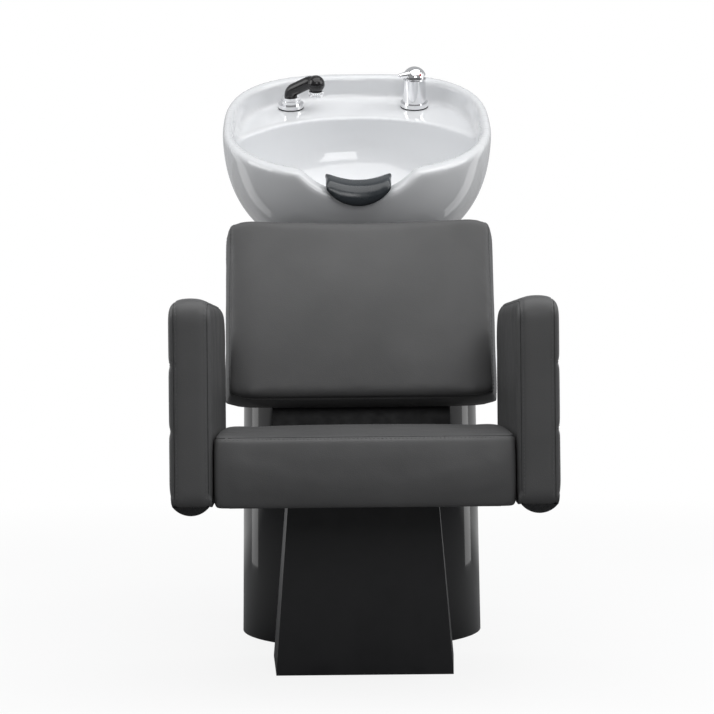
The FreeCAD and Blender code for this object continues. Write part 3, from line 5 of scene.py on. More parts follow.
import bpy
import numpy as np
from bpy.props import FloatProperty, FloatVectorProperty, PointerProperty
from bpy.types import Operator, Panel, PropertyGroup
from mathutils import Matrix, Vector


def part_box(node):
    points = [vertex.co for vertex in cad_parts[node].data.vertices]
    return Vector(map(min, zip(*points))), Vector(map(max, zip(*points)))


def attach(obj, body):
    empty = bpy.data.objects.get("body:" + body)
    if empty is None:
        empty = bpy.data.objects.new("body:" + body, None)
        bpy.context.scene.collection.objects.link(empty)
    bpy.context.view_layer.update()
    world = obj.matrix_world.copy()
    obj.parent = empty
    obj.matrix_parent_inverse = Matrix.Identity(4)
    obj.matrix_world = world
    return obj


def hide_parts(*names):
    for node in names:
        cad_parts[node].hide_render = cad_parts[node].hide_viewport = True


bl_info = {
    "name": "Backwash Unit",
    "version": (1, 0, 0),
    "blender": (4, 5, 0),
    "location": "3D View > Sidebar > Backwash Unit",
    "description": "Dresses the salon backwash unit: leather, ceramic, gloss black, chrome and studio",
    "category": "Object",
}

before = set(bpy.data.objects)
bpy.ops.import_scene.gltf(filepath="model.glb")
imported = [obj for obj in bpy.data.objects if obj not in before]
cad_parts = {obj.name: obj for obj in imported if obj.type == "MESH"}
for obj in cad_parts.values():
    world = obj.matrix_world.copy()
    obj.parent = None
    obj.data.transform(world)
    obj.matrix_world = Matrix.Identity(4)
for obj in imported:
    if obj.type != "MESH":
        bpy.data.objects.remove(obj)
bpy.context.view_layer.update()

# Slopes and places of the solids, in radians and metres
BACK_LEAN = math.radians(17)
BOWL_TILT = math.radians(23.8)
BACK_FOOT = Vector((0, -0.1476, 0.462))
SEAT_FALL = 0.018

# Level of the seat's seam at the front
SEAT_SEAM = 0.4235

# The back's seams, each with its depth behind the cushion's face and the side of its stitches
BACK_SEAMS = (("back_front_seam", 0.014, 1), ("back_rear_seam", 0.076, -1))

# The arms' seams, from the outer and the inner side, and where they end above the lower edge
ARM_OUTER_SEAM = 0.009
ARM_INNER_SEAM = 0.006
ARM_SEAM_END = 0.012

# Levels of the arms' channels, their width and depth as shares of a seam's, and what counts as the outer side
ARM_CHANNELS = (0.538, 0.434)
CHANNEL_WIDTH = 1.6
CHANNEL_DEPTH = 0.8
OUTER_SIDE = 0.6

# Painted shade in the seams, dark tubes along the creases: the step along one, its radius and how far it is
# sunk into the cover
SEAM_SHADE_STEP = 0.004
SEAM_SHADE_RADIUS = 0.0007
SEAM_SHADE_SINK = 0.0002

# Stitches: half of one as a share of the pitch, and how far its ends dip and its middle stands out
STITCH_SHARE = 0.34
STITCH_DIP = 0.0004
STITCH_LIFT = 0.00025

# Stuffing: frames of the simulation, how far a cover may sink and how far it may stand over the solid
STUFFING_FRAMES = 20
MOST_SINK = 0.0003
MOST_OVERFILL = 0.0004


class UpholsterySettings(PropertyGroup):
    """Leather, padding and stitching."""

    leather_colour: FloatVectorProperty(
        name="Leather colour", description="Cover of seat, back and arms", subtype='COLOR',
        default=(0.088, 0.088, 0.089), min=0, max=1)
    leather_roughness: FloatProperty(
        name="Leather roughness", description="Sheen of the cover, from polished to dull", subtype='FACTOR',
        default=0.46, min=0, max=1)
    grain_size: FloatProperty(
        name="Grain size", description="Width of one pebble of the leather's grain", subtype='DISTANCE',
        default=0.0014, min=0.0004, max=0.01)
    stuffing_pressure: FloatProperty(
        name="Stuffing pressure", description="How hard the foam pushes the cover out",
        default=4, min=0, max=20)
    voxel: FloatProperty(
        name="Cover mesh", description="Size of one face of a cover before it is divided", subtype='DISTANCE',
        default=0.006, min=0.003, max=0.02)
    seam_width: FloatProperty(
        name="Seam width", description="Half the width of the valley at a seam", subtype='DISTANCE',
        default=0.006, min=0.001, max=0.03)
    seam_depth: FloatProperty(
        name="Seam depth", description="Depth of the valley at a seam", subtype='DISTANCE',
        default=0.0016, min=0, max=0.01)
    stitch_pitch: FloatProperty(
        name="Stitch pitch", description="From one stitch to the next", subtype='DISTANCE',
        default=0.0065, min=0.002, max=0.03)
    stitch_offset: FloatProperty(
        name="Stitch offset", description="Row of stitches beside its seam", subtype='DISTANCE',
        default=0.0045, min=0, max=0.02)
    thread_radius: FloatProperty(
        name="Thread radius", description="Sewing thread", subtype='DISTANCE',
        default=0.0005, min=0.0002, max=0.002)


class FinishSettings(PropertyGroup):
    """Hard finishes."""

    glaze_colour: FloatVectorProperty(
        name="Glaze colour", description="Ceramic bowl", subtype='COLOR',
        default=(0.77, 0.78, 0.795), min=0, max=1)
    gloss_colour: FloatVectorProperty(
        name="Gloss black", description="Moulded pedestal", subtype='COLOR',
        default=(0.005, 0.005, 0.006), min=0, max=1)
    satin_colour: FloatVectorProperty(
        name="Satin black", description="Painted foot", subtype='COLOR',
        default=(0.010, 0.010, 0.012), min=0, max=1)
    chrome_colour: FloatVectorProperty(
        name="Chrome", description="Mixer, spray fittings and waste", subtype='COLOR',
        default=(0.86, 0.86, 0.87), min=0, max=1)


class StudioSettings(PropertyGroup):
    """Camera, floor and lamps."""

    lens: FloatProperty(
        name="Lens", description="Focal length on a 36 mm sensor", unit='CAMERA',
        default=109.9, min=20, max=300)
    distance: FloatProperty(
        name="Distance", description="Camera in front of the unit's middle", subtype='DISTANCE',
        default=3.9716, min=1, max=10)
    eye_height: FloatProperty(
        name="Eye height", description="Camera above the floor", subtype='DISTANCE',
        default=0.69, min=0.1, max=3)
    side: FloatProperty(
        name="Sideways", description="Camera to the right of the middle", subtype='DISTANCE',
        default=-0.04, min=-1, max=1)
    roll: FloatProperty(
        name="Roll", description="Camera turned about its view", subtype='ANGLE',
        default=math.radians(0.55), min=-0.2, max=0.2)
    shift: FloatVectorProperty(
        name="Shift", description="Picture moved sideways and up, in widths of the picture", size=2,
        default=(0.0273, -0.126), min=-1, max=1)
    floor_tone: FloatProperty(
        name="Floor tone", description="Grey of the floor as the camera sees it", subtype='FACTOR',
        default=0.9, min=0, max=1)
    floor_bounce: FloatProperty(
        name="Floor bounce", description="Share of the light that the floor throws back at the unit",
        subtype='FACTOR', default=0.2, min=0, max=1)
    floor_size: FloatProperty(
        name="Floor", description="Side of the square floor", subtype='DISTANCE',
        default=24, min=4, max=100)
    lamp_power: FloatProperty(
        name="Lamp power", description="Scales all the studio's lamps", default=1.0, min=0, max=10)


# Selecting and copying


def only(piece):
    """Makes one object the selected and active one."""
    bpy.ops.object.select_all(action='DESELECT')
    piece.select_set(True)
    bpy.context.view_layer.objects.active = piece


def edit(piece):
    """Opens one object in edit mode with all of it selected."""
    only(piece)
    bpy.ops.object.mode_set(mode='EDIT')
    bpy.ops.mesh.select_all(action='SELECT')


def done():
    """Goes back to object mode."""
    bpy.ops.object.mode_set(mode='OBJECT')


def copy_of(node, name):
    """A merged, closed copy of a CAD node's mesh, as an object of its own."""
    piece = bpy.data.objects.new(name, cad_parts[node].data.copy())
    bpy.context.scene.collection.objects.link(piece)
    piece.data.materials.clear()
    edit(piece)
    bpy.ops.mesh.customdata_custom_splitnormals_clear()
    bpy.ops.mesh.remove_doubles(threshold=0.00001)
    bpy.ops.mesh.normals_make_consistent(inside=False)
    done()
    return piece


def apply(piece, kind, **values):
    """Adds a modifier with the given values and applies it."""
    only(piece)
    modifier = piece.modifiers.new(kind.title(), kind)
    for key, value in values.items():
        setattr(modifier, key, value)
    bpy.ops.object.modifier_apply(modifier=modifier.name)


def remesh(piece, face_size):
    """Meshes a piece again in even faces."""
    piece.data.remesh_voxel_size = face_size
    only(piece)
    bpy.ops.object.voxel_remesh()


def smooth(piece, rounds):
    apply(piece, 'SMOOTH', factor=0.5, iterations=rounds)


def even_copy(node, name, face_size):
    """A copy of a CAD node in even faces, which lie on the solid's surface again."""
    solid = copy_of(node, name + "_solid")
    piece = copy_of(node, name)
    remesh(piece, face_size)
    smooth(piece, 4)
    apply(piece, 'SHRINKWRAP', target=solid, wrap_method='NEAREST_SURFACEPOINT')
    bpy.data.objects.remove(solid)
    return piece


def vertex_values(piece, kind):
    flat = np.empty(3 * len(piece.data.vertices))
    piece.data.vertices.foreach_get(kind, flat)
    return flat.reshape(-1, 3)


def points_of(piece):
    return vertex_values(piece, "co")


def normals_of(piece):
    return vertex_values(piece, "normal")


def move_points(piece, points):
    piece.data.vertices.foreach_set("co", points.reshape(-1))
    piece.data.update()


def held(values):
    """Values held between 0 and 1."""
    return np.clip(values, 0, 1)


def finish_piece(piece, body, finish, slot, *nodes):
    """Gives a piece its finish and body, and hides the nodes that it stands for."""
    piece.data.materials.clear()
    piece.data.materials.append(material(finish))
    only(piece)
    bpy.ops.object.shade_smooth()
    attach(piece, body)
    if nodes:
        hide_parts(*nodes)


# Material nodes


class Finish:
    """A procedural material on Object coordinates, with its shader at hand."""

    def __init__(self, name, colour, roughness, metallic=0.0):
        self.material = bpy.data.materials.new(name)
        self.material.use_nodes = True
        self.material.diffuse_color = (*colour, 1)
        self.tree = self.material.node_tree
        self.shader = self.tree.nodes["Principled BSDF"]
        self.shader.inputs["Base Color"].default_value = (*colour, 1)
        self.shader.inputs["Roughness"].default_value = roughness
        self.shader.inputs["Metallic"].default_value = metallic
        self.place = self.tree.nodes.new("ShaderNodeTexCoord").outputs["Object"]
        self.bump = None

    def set(self, **values):
        for key, value in values.items():
            self.shader.inputs[key.replace("_", " ")].default_value = value

    def link(self, output, socket):
        self.tree.links.new(output, socket)

    def stretched(self, scale):
        """Object coordinates scaled by axis, for grain that runs one way."""
        mapping = self.tree.nodes.new("ShaderNodeMapping")
        mapping.inputs["Scale"].default_value = scale
        self.link(self.place, mapping.inputs["Vector"])
        return mapping.outputs["Vector"]

    def noise(self, scale, detail=3.0, place=None):
        node = self.tree.nodes.new("ShaderNodeTexNoise")
        node.inputs["Scale"].default_value = scale
        node.inputs["Detail"].default_value = detail
        self.link(place or self.place, node.inputs["Vector"])
        return node.outputs["Fac"]

    def pebbles(self, size):
        """Leather's pebbled grain: rounded cells of uneven size."""
        node = self.tree.nodes.new("ShaderNodeTexVoronoi")
        node.feature = 'SMOOTH_F1'
        node.inputs["Scale"].default_value = 1 / size
        node.inputs["Smoothness"].default_value = 0.6
        node.inputs["Randomness"].default_value = 0.9
        self.link(self.place, node.inputs["Vector"])
        return node.outputs["Distance"]

    def ramp(self, fac, low, high, start=0.3, end=0.7):
        """Maps a texture to a range of values."""
        node = self.tree.nodes.new("ShaderNodeMapRange")
        node.inputs["From Min"].default_value = start
        node.inputs["From Max"].default_value = end
        node.inputs["To Min"].default_value = low
        node.inputs["To Max"].default_value = high
        self.link(fac, node.inputs["Value"])
        return node.outputs["Result"]

    def vary_roughness(self, fac, low, high):
        self.link(self.ramp(fac, low, high), self.shader.inputs["Roughness"])

    def vary_colour(self, fac, dark, light, start=0.3, end=0.7):
        """Runs the base colour between two colours by a texture."""
        node = self.tree.nodes.new("ShaderNodeValToRGB")
        node.color_ramp.elements[0].position = start
        node.color_ramp.elements[1].position = end
        node.color_ramp.elements[0].color = (*dark, 1)
        node.color_ramp.elements[1].color = (*light, 1)
        self.link(fac, node.inputs["Fac"])
        self.link(node.outputs["Color"], self.shader.inputs["Base Color"])

    def add_bump(self, height, strength, distance):
        """Adds a layer of relief on top of those already there."""
        node = self.tree.nodes.new("ShaderNodeBump")
        node.inputs["Strength"].default_value = strength
        node.inputs["Distance"].default_value = distance
        self.link(height, node.inputs["Height"])
        if self.bump:
            self.link(self.bump, node.inputs["Normal"])
        self.bump = node.outputs["Normal"]
        self.link(self.bump, self.shader.inputs["Normal"])


def math_node(tree, operation, *values):
    """Reckons with sockets and plain numbers, and gives the result's socket."""
    node = tree.nodes.new("ShaderNodeMath")
    node.operation = operation
    for socket, value in zip(node.inputs, values):
        if isinstance(value, float):
            socket.default_value = value
        else:
            tree.links.new(value, socket)
    return node.outputs["Value"]


def mix_shaders(tree, fac, first, second, surface):
    """Sends a mix of two shaders to a tree's output."""
    mix = tree.nodes.new("ShaderNodeMixShader")
    tree.links.new(fac, mix.inputs["Fac"])
    tree.links.new(first, mix.inputs[1])
    tree.links.new(second, mix.inputs[2])
    tree.links.new(mix.outputs["Shader"], surface)


def shaded(colour, share):
    return tuple(channel * share for channel in colour)


def material(name):
    return bpy.data.materials[name]


def make_finishes(upholstery, finishes):
    """All the finishes of the unit, by name."""
    leather = upholstery.leather_colour
    sheen = upholstery.leather_roughness
    cover = Finish("Black grey leather", leather, sheen)
    cover.set(Specular_IOR_Level=0.42)
    cover.vary_colour(cover.noise(5, 4), shaded(leather, 0.88), shaded(leather, 1.14))
    cover.vary_roughness(cover.noise(18, 5), sheen - 0.05, sheen + 0.06)
    cover.add_bump(cover.noise(60, 2), 0.18, 0.001)
    cover.add_bump(cover.pebbles(upholstery.grain_size), 0.35, 0.0004)

    thread = Finish("Sewing thread", shaded(leather, 1.25), 0.7)
    thread.vary_colour(thread.noise(900, 2), shaded(leather, 1.0), shaded(leather, 1.6))
    thread.add_bump(thread.noise(3000, 1), 0.3, 0.0002)

    # Painted shade: this near-black finish colours the tubes laid in the seams' creases, in place of the
    # shadow there
    seam_shade = Finish("Painted seam shade", shaded(leather, 0.25), 0.8)
    seam_shade.vary_colour(seam_shade.noise(200, 2), shaded(leather, 0.2), shaded(leather, 0.4))

    glaze = Finish("White glaze", finishes.glaze_colour, 0.06)
    glaze.set(Coat_Weight=0.6, Coat_Roughness=0.02, Specular_IOR_Level=0.5)
    glaze.vary_colour(glaze.noise(7, 3), shaded(finishes.glaze_colour, 0.985), finishes.glaze_colour)
    glaze.add_bump(glaze.noise(22, 1), 0.03, 0.002)

    gloss = Finish("Gloss black moulding", finishes.gloss_colour, 0.07)
    gloss.set(Coat_Weight=0.5, Coat_Roughness=0.03)
    gloss.vary_roughness(gloss.noise(40, 5), 0.05, 0.10)
    gloss.add_bump(gloss.noise(26, 1), 0.05, 0.002)

    satin = Finish("Satin black paint", finishes.satin_colour, 0.4)
    satin.vary_roughness(satin.noise(30, 5), 0.34, 0.46)
    satin.add_bump(satin.noise(1400, 2), 0.08, 0.0003)

    coat = Finish("Black powder coat", shaded(finishes.satin_colour, 0.8), 0.55)
    coat.vary_roughness(coat.noise(60, 4), 0.48, 0.62)
    coat.add_bump(coat.noise(900, 2), 0.2, 0.0004)

    panel = Finish("Matte black sheet", shaded(finishes.satin_colour, 0.9), 0.6)
    panel.vary_roughness(panel.noise(80, 4), 0.52, 0.68)
    panel.add_bump(panel.noise(1200, 3), 0.25, 0.0003)

    chrome = Finish("Chrome", finishes.chrome_colour, 0.04, 1.0)
    chrome.vary_roughness(chrome.noise(90, 4), 0.03, 0.07)

    zinc = Finish("Zinc plate", (0.62, 0.62, 0.63), 0.3, 1.0)
    zinc.vary_colour(zinc.noise(240, 4), (0.5, 0.5, 0.51), (0.7, 0.7, 0.71))
    zinc.vary_roughness(zinc.noise(180, 4), 0.24, 0.4)

    steel = Finish("Stainless steel", (0.6, 0.6, 0.61), 0.25, 1.0)
    steel.vary_roughness(steel.noise(60, 3, steel.stretched((40, 2, 2))), 0.2, 0.34)

    brass = Finish("Bare brass", (0.68, 0.5, 0.24), 0.3, 1.0)
    brass.vary_colour(brass.noise(70, 4), (0.55, 0.38, 0.17), (0.74, 0.56, 0.28))

    ply = Finish("Birch plywood", (0.52, 0.37, 0.22), 0.6)
    ply.vary_colour(ply.noise(24, 5, ply.stretched((1, 8, 30))), (0.4, 0.26, 0.14), (0.6, 0.45, 0.28))
    ply.add_bump(ply.noise(60, 4, ply.stretched((1, 6, 20))), 0.2, 0.0005)

    board = Finish("Black stained board", (0.012, 0.012, 0.012), 0.7)
    board_grain = board.noise(24, 5, board.stretched((1, 8, 30)))
    board.vary_colour(board_grain, (0.008, 0.008, 0.008), (0.018, 0.017, 0.016))
    board.add_bump(board.noise(60, 4, board.stretched((1, 6, 20))), 0.2, 0.0005)

    rubber = Finish("Black rubber", (0.014, 0.015, 0.016), 0.7)
    rubber.vary_roughness(rubber.noise(120, 4), 0.6, 0.8)
    rubber.add_bump(rubber.noise(700, 3), 0.2, 0.0003)

    gel = Finish("Gel rubber", (0.018, 0.024, 0.029), 0.26)
    gel.set(Coat_Weight=0.25, Coat_Roughness=0.12)
    gel.vary_colour(gel.noise(18, 3), (0.014, 0.019, 0.024), (0.026, 0.033, 0.039))
    gel.vary_roughness(gel.noise(40, 4), 0.2, 0.32)
    gel.add_bump(gel.noise(500, 2), 0.06, 0.0003)

    gloss_plastic = Finish("Black plastic", (0.010, 0.009, 0.010), 0.14)
    gloss_plastic.vary_roughness(gloss_plastic.noise(150, 4), 0.1, 0.2)

    mark = Finish("Red mark", (0.35, 0.02, 0.02), 0.3)
    mark.vary_colour(mark.noise(400, 2), (0.28, 0.015, 0.015), (0.42, 0.03, 0.03))

    cap = Finish("Black moulded cap", (0.008, 0.008, 0.009), 0.25)
    cap.vary_roughness(cap.noise(150, 4), 0.2, 0.34)
    cap.add_bump(cap.noise(800, 2), 0.08, 0.0003)

    grey = Finish("Grey plastic", (0.3, 0.3, 0.31), 0.45)
    grey.vary_colour(grey.noise(50, 3), (0.27, 0.27, 0.28), (0.33, 0.33, 0.34))
    grey.vary_roughness(grey.noise(120, 4), 0.38, 0.52)


NODE_FINISHES = {
    "Satin black paint": ["front_foot"],
    "Gloss black moulding": ["pedestal_shell", "pedestal_lid"],
    "Matte black sheet": ["rear_panel"],
    "Black powder coat": ["back_bracket", "base_plate", "seat_column", "seat_plate", "bowl_post", "tilt_fork",
                          "bowl_bracket"],
    "Zinc plate": ["seat_plate_bolts", "back_bracket_bolts", "bowl_bracket_bolts", "rear_panel_screws",
                   "arm_bolts", "tilt_pin", "tilt_nuts"],
    "Birch plywood": ["left_arm_core", "right_arm_core"],
    "Black stained board": ["seat_board", "back_board"],
    "Black rubber": ["floor_pads", "drain_gasket", "mixer_gasket", "spray_holder_gasket"],
    "Chrome": ["mixer_body", "mixer_lever", "mixer_ball", "spray_holder", "spray_collar", "spray_nozzle",
               "drain_flange"],
    "Stainless steel": ["drain_strainer"],
    "Bare brass": ["mixer_nut", "spray_holder_nut", "mixer_tails", "spray_tail"],
    "Black plastic": ["spray_handle"],
    "Red mark": ["mixer_indicator"],
    "Black moulded cap": ["left_arm_cap", "right_arm_cap"],
    "Grey plastic": ["drain_nut", "drain_tail", "mixer_cartridge"],
}


# Padding and sewing


def swell(piece, pressure, most):
    """Blows a closed cover up from inside; a point may go out that far and hardly in."""
    start = points_of(piece)
    outward = normals_of(piece)
    only(piece)
    cloth = piece.modifiers.new("Stuffing", 'CLOTH')
    cloth.settings.use_pressure = True
    cloth.settings.uniform_pressure_force = pressure
    cloth.settings.effector_weights.gravity = 0
    cloth.settings.quality = 5
    cloth.collision_settings.use_collision = False
    for step in range(1, STUFFING_FRAMES + 1):
        bpy.context.scene.frame_set(step)
    bpy.ops.object.modifier_apply(modifier=cloth.name)
    bpy.context.scene.frame_set(1)
    rise = np.sum((points_of(piece) - start) * outward, axis=1)
    move_points(piece, start + outward * np.clip(rise, -MOST_SINK, most)[:, None])


def padded_cover(node, name, upholstery, draw_in):
    """A soft cover over a cushion's solid: laid on, drawn in, stuffed and divided."""
    piece = even_copy(node, name, upholstery.voxel)
    apply(piece, 'DISPLACE', strength=-draw_in, mid_level=0)
    swell(piece, upholstery.stuffing_pressure, draw_in + MOST_OVERFILL)
    smooth(piece, 6)
    smooth(piece, 4)
    apply(piece, 'SUBSURF', levels=1, render_levels=1)
    return piece


def press(piece, point, normal, facing, width, depth):
    """Presses a valley into a cover along a plane, where facing says that the cover takes part."""
    points = points_of(piece)
    outward = normals_of(piece)
    away = np.abs((points - np.array(point)) @ np.array(normal))
    near = held(1 - away / width)
    valley = near * near * (3 - 2 * near)
    move_points(piece, points - outward * (depth * valley * facing(outward))[:, None])


def along_plane(normal, full, fade):
    """A facing for press: all where the cover looks along the plane, less where it looks out of it."""
    return lambda outward: held(full - np.abs(outward @ np.array(normal)) * fade)


def seam_path(piece, point, normal):
    """The closed line in which a plane cuts a piece, as ordered points."""
    cutter = bpy.data.objects.new("Cutter", piece.data.copy())
    bpy.context.scene.collection.objects.link(cutter)
    edit(cutter)
    bpy.ops.mesh.bisect(plane_co=point, plane_no=normal, clear_inner=True, clear_outer=True)
    done()
    corners = [vertex.co.copy() for vertex in cutter.data.vertices]
    joined = {index: [] for index in range(len(corners))}
    for edge in cutter.data.edges:
        first, second = edge.vertices
        joined[first].append(second)
        joined[second].append(first)
    bpy.data.objects.remove(cutter)
    order = [0]
    while True:
        onward = [other for other in joined[order[-1]] if other not in order[-2:] and other != order[0]]
        if not onward or len(order) > len(corners):
            break
        order.append(onward[0])
    return [corners[index] for index in order]


def evenly(path, pitch):
    """Points spaced evenly along a closed path, with the direction of the path at each."""
    ring = path + path[:1]
    lengths = [(after - before).length for before, after in zip(ring, ring[1:])]
    count = max(3, round(sum(lengths) / pitch))
    step = sum(lengths) / count
    spots = []
    walked = 0.0
    due = 0.0
    for before, after, length in zip(ring, ring[1:], lengths):
        while due <= walked + length and len(spots) < count:
            share = (due - walked) / max(length, 1e-9)
            spots.append((before.lerp(after, share), (after - before).normalized()))
            due += step
        walked += length
    return spots


def tube(name, runs, radius):
    """A round thread along one or more runs of points, as a mesh."""
    curve = bpy.data.curves.new(name, 'CURVE')
    curve.dimensions = '3D'
    curve.bevel_depth = radius
    curve.bevel_resolution = 1
    curve.use_fill_caps = True
    for run in runs:
        spline = curve.splines.new('POLY')
        spline.points.add(len(run) - 1)
        for spot, place in zip(spline.points, run):
            spot.co = (*place, 1)
    piece = bpy.data.objects.new(name, curve)
    bpy.context.scene.collection.objects.link(piece)
    only(piece)
    bpy.ops.object.convert(target='MESH')
    return bpy.context.view_layer.objects.active


def everywhere(near, outward):
    """For a seam that runs all the way round."""
    return True


def sew(cover, name, point, normal, keep, upholstery, side):
    """Lays a dark tube along a seam of a cover as painted shade in its crease, and a row of stitches on one
    side of it.
    """
    path = seam_path(cover, point, normal)
    runs = [[]]
    for spot, _ in evenly(path, SEAM_SHADE_STEP):
        _, near, outward, _ = cover.closest_point_on_mesh(spot)
        if keep(near, outward):
            runs[-1].append(near - outward * SEAM_SHADE_SINK)
        elif runs[-1]:
            runs.append([])
    # Painted shade: a dark tube laid along the seam's crease
    seam_shade = tube(name + "_painted_shade", [run for run in runs if len(run) > 2], SEAM_SHADE_RADIUS)
    finish_piece(seam_shade, "base", "Painted seam shade", "black_leather")
    stitches = []
    half = upholstery.stitch_pitch * STITCH_SHARE
    for spot, along in evenly(path, upholstery.stitch_pitch):
        _, near, outward, _ = cover.closest_point_on_mesh(spot)
        if not keep(near, outward):
            continue
        beside = along.cross(outward).normalized()
        if beside.dot(Vector(normal)) < 0:
            beside.negate()
        middle = spot + beside * (side * upholstery.stitch_offset)
        _, middle, up, _ = cover.closest_point_on_mesh(middle)
        stitches.append([middle - along * half - up * STITCH_DIP, middle + up * STITCH_LIFT,
                         middle + along * half - up * STITCH_DIP])
    row = tube(name + "_stitches", stitches, upholstery.thread_radius)
    finish_piece(row, "base", "Sewing thread", "black_leather")


class BACKWASH_OT_hard_finishes(Operator):
    """Makes the finishes and gives the hard parts theirs"""

    bl_idname = "backwash.hard_finishes"
    bl_label = "Hard Finishes"

    def execute(self, context):
        make_finishes(context.scene.upholstery, context.scene.finishes)
        for finish, nodes in NODE_FINISHES.items():
            for node in nodes:
                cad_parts[node].data.materials.clear()
                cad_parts[node].data.materials.append(material(finish))
        return {'FINISHED'}


class BACKWASH_OT_seat(Operator):
    """Covers the seat cushion, with a sewn edge round its top"""

    bl_idname = "backwash.seat"
    bl_label = "Seat Cushion"

    def execute(self, context):
        upholstery = context.scene.upholstery
        seat = padded_cover("seat_cushion", "seat_cover", upholstery, draw_in=0.0003)
        low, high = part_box("seat_cushion")
        self.fill_sides(seat, low, high)
        slope = math.atan2(SEAT_FALL, high[1] - low[1])
        point = (0, low[1], SEAT_SEAM)
        normal = (0, math.sin(slope), math.cos(slope))
        press(seat, point, normal, along_plane(normal, full=1.4, fade=1.2),
              upholstery.seam_width, upholstery.seam_depth)
        finish_piece(seat, "base", "Black grey leather", "black_leather", "seat_cushion")
        sew(seat, "seat_seam", point, normal, everywhere, upholstery, -1)
        return {'FINISHED'}

    def fill_sides(self, seat, low, high):
        """Fills the top edges out beside the arms."""
        margin = 0.05
        rise = 0.007
        points = points_of(seat)
        beside = held((np.abs(points[:, 0]) - high[0] + margin) / margin)
        upper = held((points[:, 2] - low[2] - margin) / margin)
        points[:, 2] += rise * beside * upper
        move_points(seat, points)


class BACKWASH_OT_back_rest(Operator):
    """Covers the back cushion, with sewn edges round its front and rear"""

    bl_idname = "backwash.back_rest"
    bl_label = "Back Cushion"

    def execute(self, context):
        upholstery = context.scene.upholstery
        back = padded_cover("back_cushion", "back_cover", upholstery, draw_in=0.0015)
        through = Vector((0, math.cos(BACK_LEAN), -math.sin(BACK_LEAN)))
        for _, depth, _ in BACK_SEAMS:
            press(back, BACK_FOOT + through * depth, through, along_plane(through, full=1.4, fade=1.2),
                  upholstery.seam_width, upholstery.seam_depth)
        finish_piece(back, "base", "Black grey leather", "black_leather", "back_cushion")
        for name, depth, side in BACK_SEAMS:
            sew(back, name, BACK_FOOT + through * depth, through, everywhere, upholstery, side)
        return {'FINISHED'}


class BACKWASH_OT_arms(Operator):
    """Covers the two arms, with seams along the edge strip and channels across the outer side"""

    bl_idname = "backwash.arms"
    bl_label = "Arms"

    def execute(self, context):
        upholstery = context.scene.upholstery
        for side, node in ((-1, "left_arm_pad"), (1, "right_arm_pad")):
            arm = padded_cover(node, node.replace("pad", "cover"), upholstery, draw_in=0.0012)
            low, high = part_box(node)
            outer = low[0] if side < 0 else high[0]
            inner = high[0] if side < 0 else low[0]
            self.shape(arm, side, inner, outer, low[2])
            edges = {"outer": outer - side * ARM_OUTER_SEAM, "inner": inner + side * ARM_INNER_SEAM}
            for x in edges.values():
                press(arm, (x, 0, 0), (1, 0, 0), along_plane((1, 0, 0), full=1.5, fade=1.5),
                      upholstery.seam_width, upholstery.seam_depth)
            for z in ARM_CHANNELS:
                press(arm, (0, 0, z), (0, 0, 1), lambda outward: held(outward[:, 0] * side * 2 - OUTER_SIDE),
                      CHANNEL_WIDTH * upholstery.seam_width, CHANNEL_DEPTH * upholstery.seam_depth)
            finish_piece(arm, "base", "Black grey leather", "black_leather", node)
            word = node.replace("_pad", "")
            for edge, x in edges.items():
                toward = 1 if (edge == "outer") == (side < 0) else -1
                sew(arm, f"{word}_{edge}_seam", (x, 0, 0), (1, 0, 0),
                    lambda near, outward: near.z > low[2] + ARM_SEAM_END, upholstery, toward)
            for number, z in enumerate(ARM_CHANNELS):
                sew(arm, f"{word}_channel_{number}", (0, 0, z), (0, 0, 1),
                    lambda near, outward: outward.x * side > OUTER_SIDE, upholstery, 1)
        return {'FINISHED'}

    def shape(self, arm, side, inner, outer, bottom):
        """Crowns the top, squares the lower edges over the cap and draws the outer side in there."""
        crown = 0.006
        drop = 0.005
        draw = 0.004
        drop_height = 0.04
        corner_height = 0.02
        crown_from = 0.1
        spread = 0.5
        widest = 0.97
        points = points_of(arm)
        above = points[:, 2] - bottom
        middle = (inner + outer) / 2
        half = abs(outer - inner) / 2
        off = (points[:, 0] - middle) / half
        upward = held(normals_of(arm)[:, 2]) * (above > crown_from)
        fall = held(1 - above / drop_height)
        corner = held(1 - above / corner_height)
        squared = np.clip(off * (1 + spread * corner), -widest, widest)
        off = np.where(corner > 0, np.maximum(np.abs(off), np.abs(squared)) * np.sign(off), off)
        points[:, 0] = middle + half * off - side * draw * fall * fall * held(off * side)
        points[:, 2] += crown * upward * held(1 - off * off) - drop * fall
        move_points(arm, points)


class BACKWASH_OT_neck_pad(Operator):
    """Moulds the soft neck pad that lies in the bowl's notch"""

    bl_idname = "backwash.neck_pad"
    bl_label = "Neck Pad"

    def execute(self, context):
        pad = copy_of("neck_pad", "neck_gel")
        remesh(pad, face_size=0.0025)
        smooth(pad, rounds=60)
        apply(pad, 'DISPLACE', strength=0.0012, mid_level=0)
        self.ears(pad)
        apply(pad, 'SUBSURF', levels=1, render_levels=1)
        finish_piece(pad, "bowl", "Gel rubber", "rubber", "neck_pad")
        return {'FINISHED'}

    def ears(self, pad):
        """Draws the upper corners out into the small ears by which the pad is pulled off."""
        height = 0.012
        start = 0.042
        run = 0.02
        out = 0.006
        rise = 0.002
        points = points_of(pad)
        top = points[:, 2].max()
        high = held((points[:, 2] - top + height) / height)
        wide = held((np.abs(points[:, 0]) - start) / run)
        ear = high * high * wide
        points[:, 0] += np.sign(points[:, 0]) * out * ear
        points[:, 2] += rise * ear
        move_points(pad, points)


class BACKWASH_OT_bowl(Operator):
    """Glazes the bowl: every edge of the casting is rounded by the glaze"""

    bl_idname = "backwash.bowl"
    bl_label = "Bowl"

    def execute(self, context):
        bowl = even_copy("bowl", "bowl_glaze", face_size=0.0043)
        smooth(bowl, rounds=26)
        finish_piece(bowl, "bowl", "White glaze", "white_ceramic", "bowl")
        return {'FINISHED'}


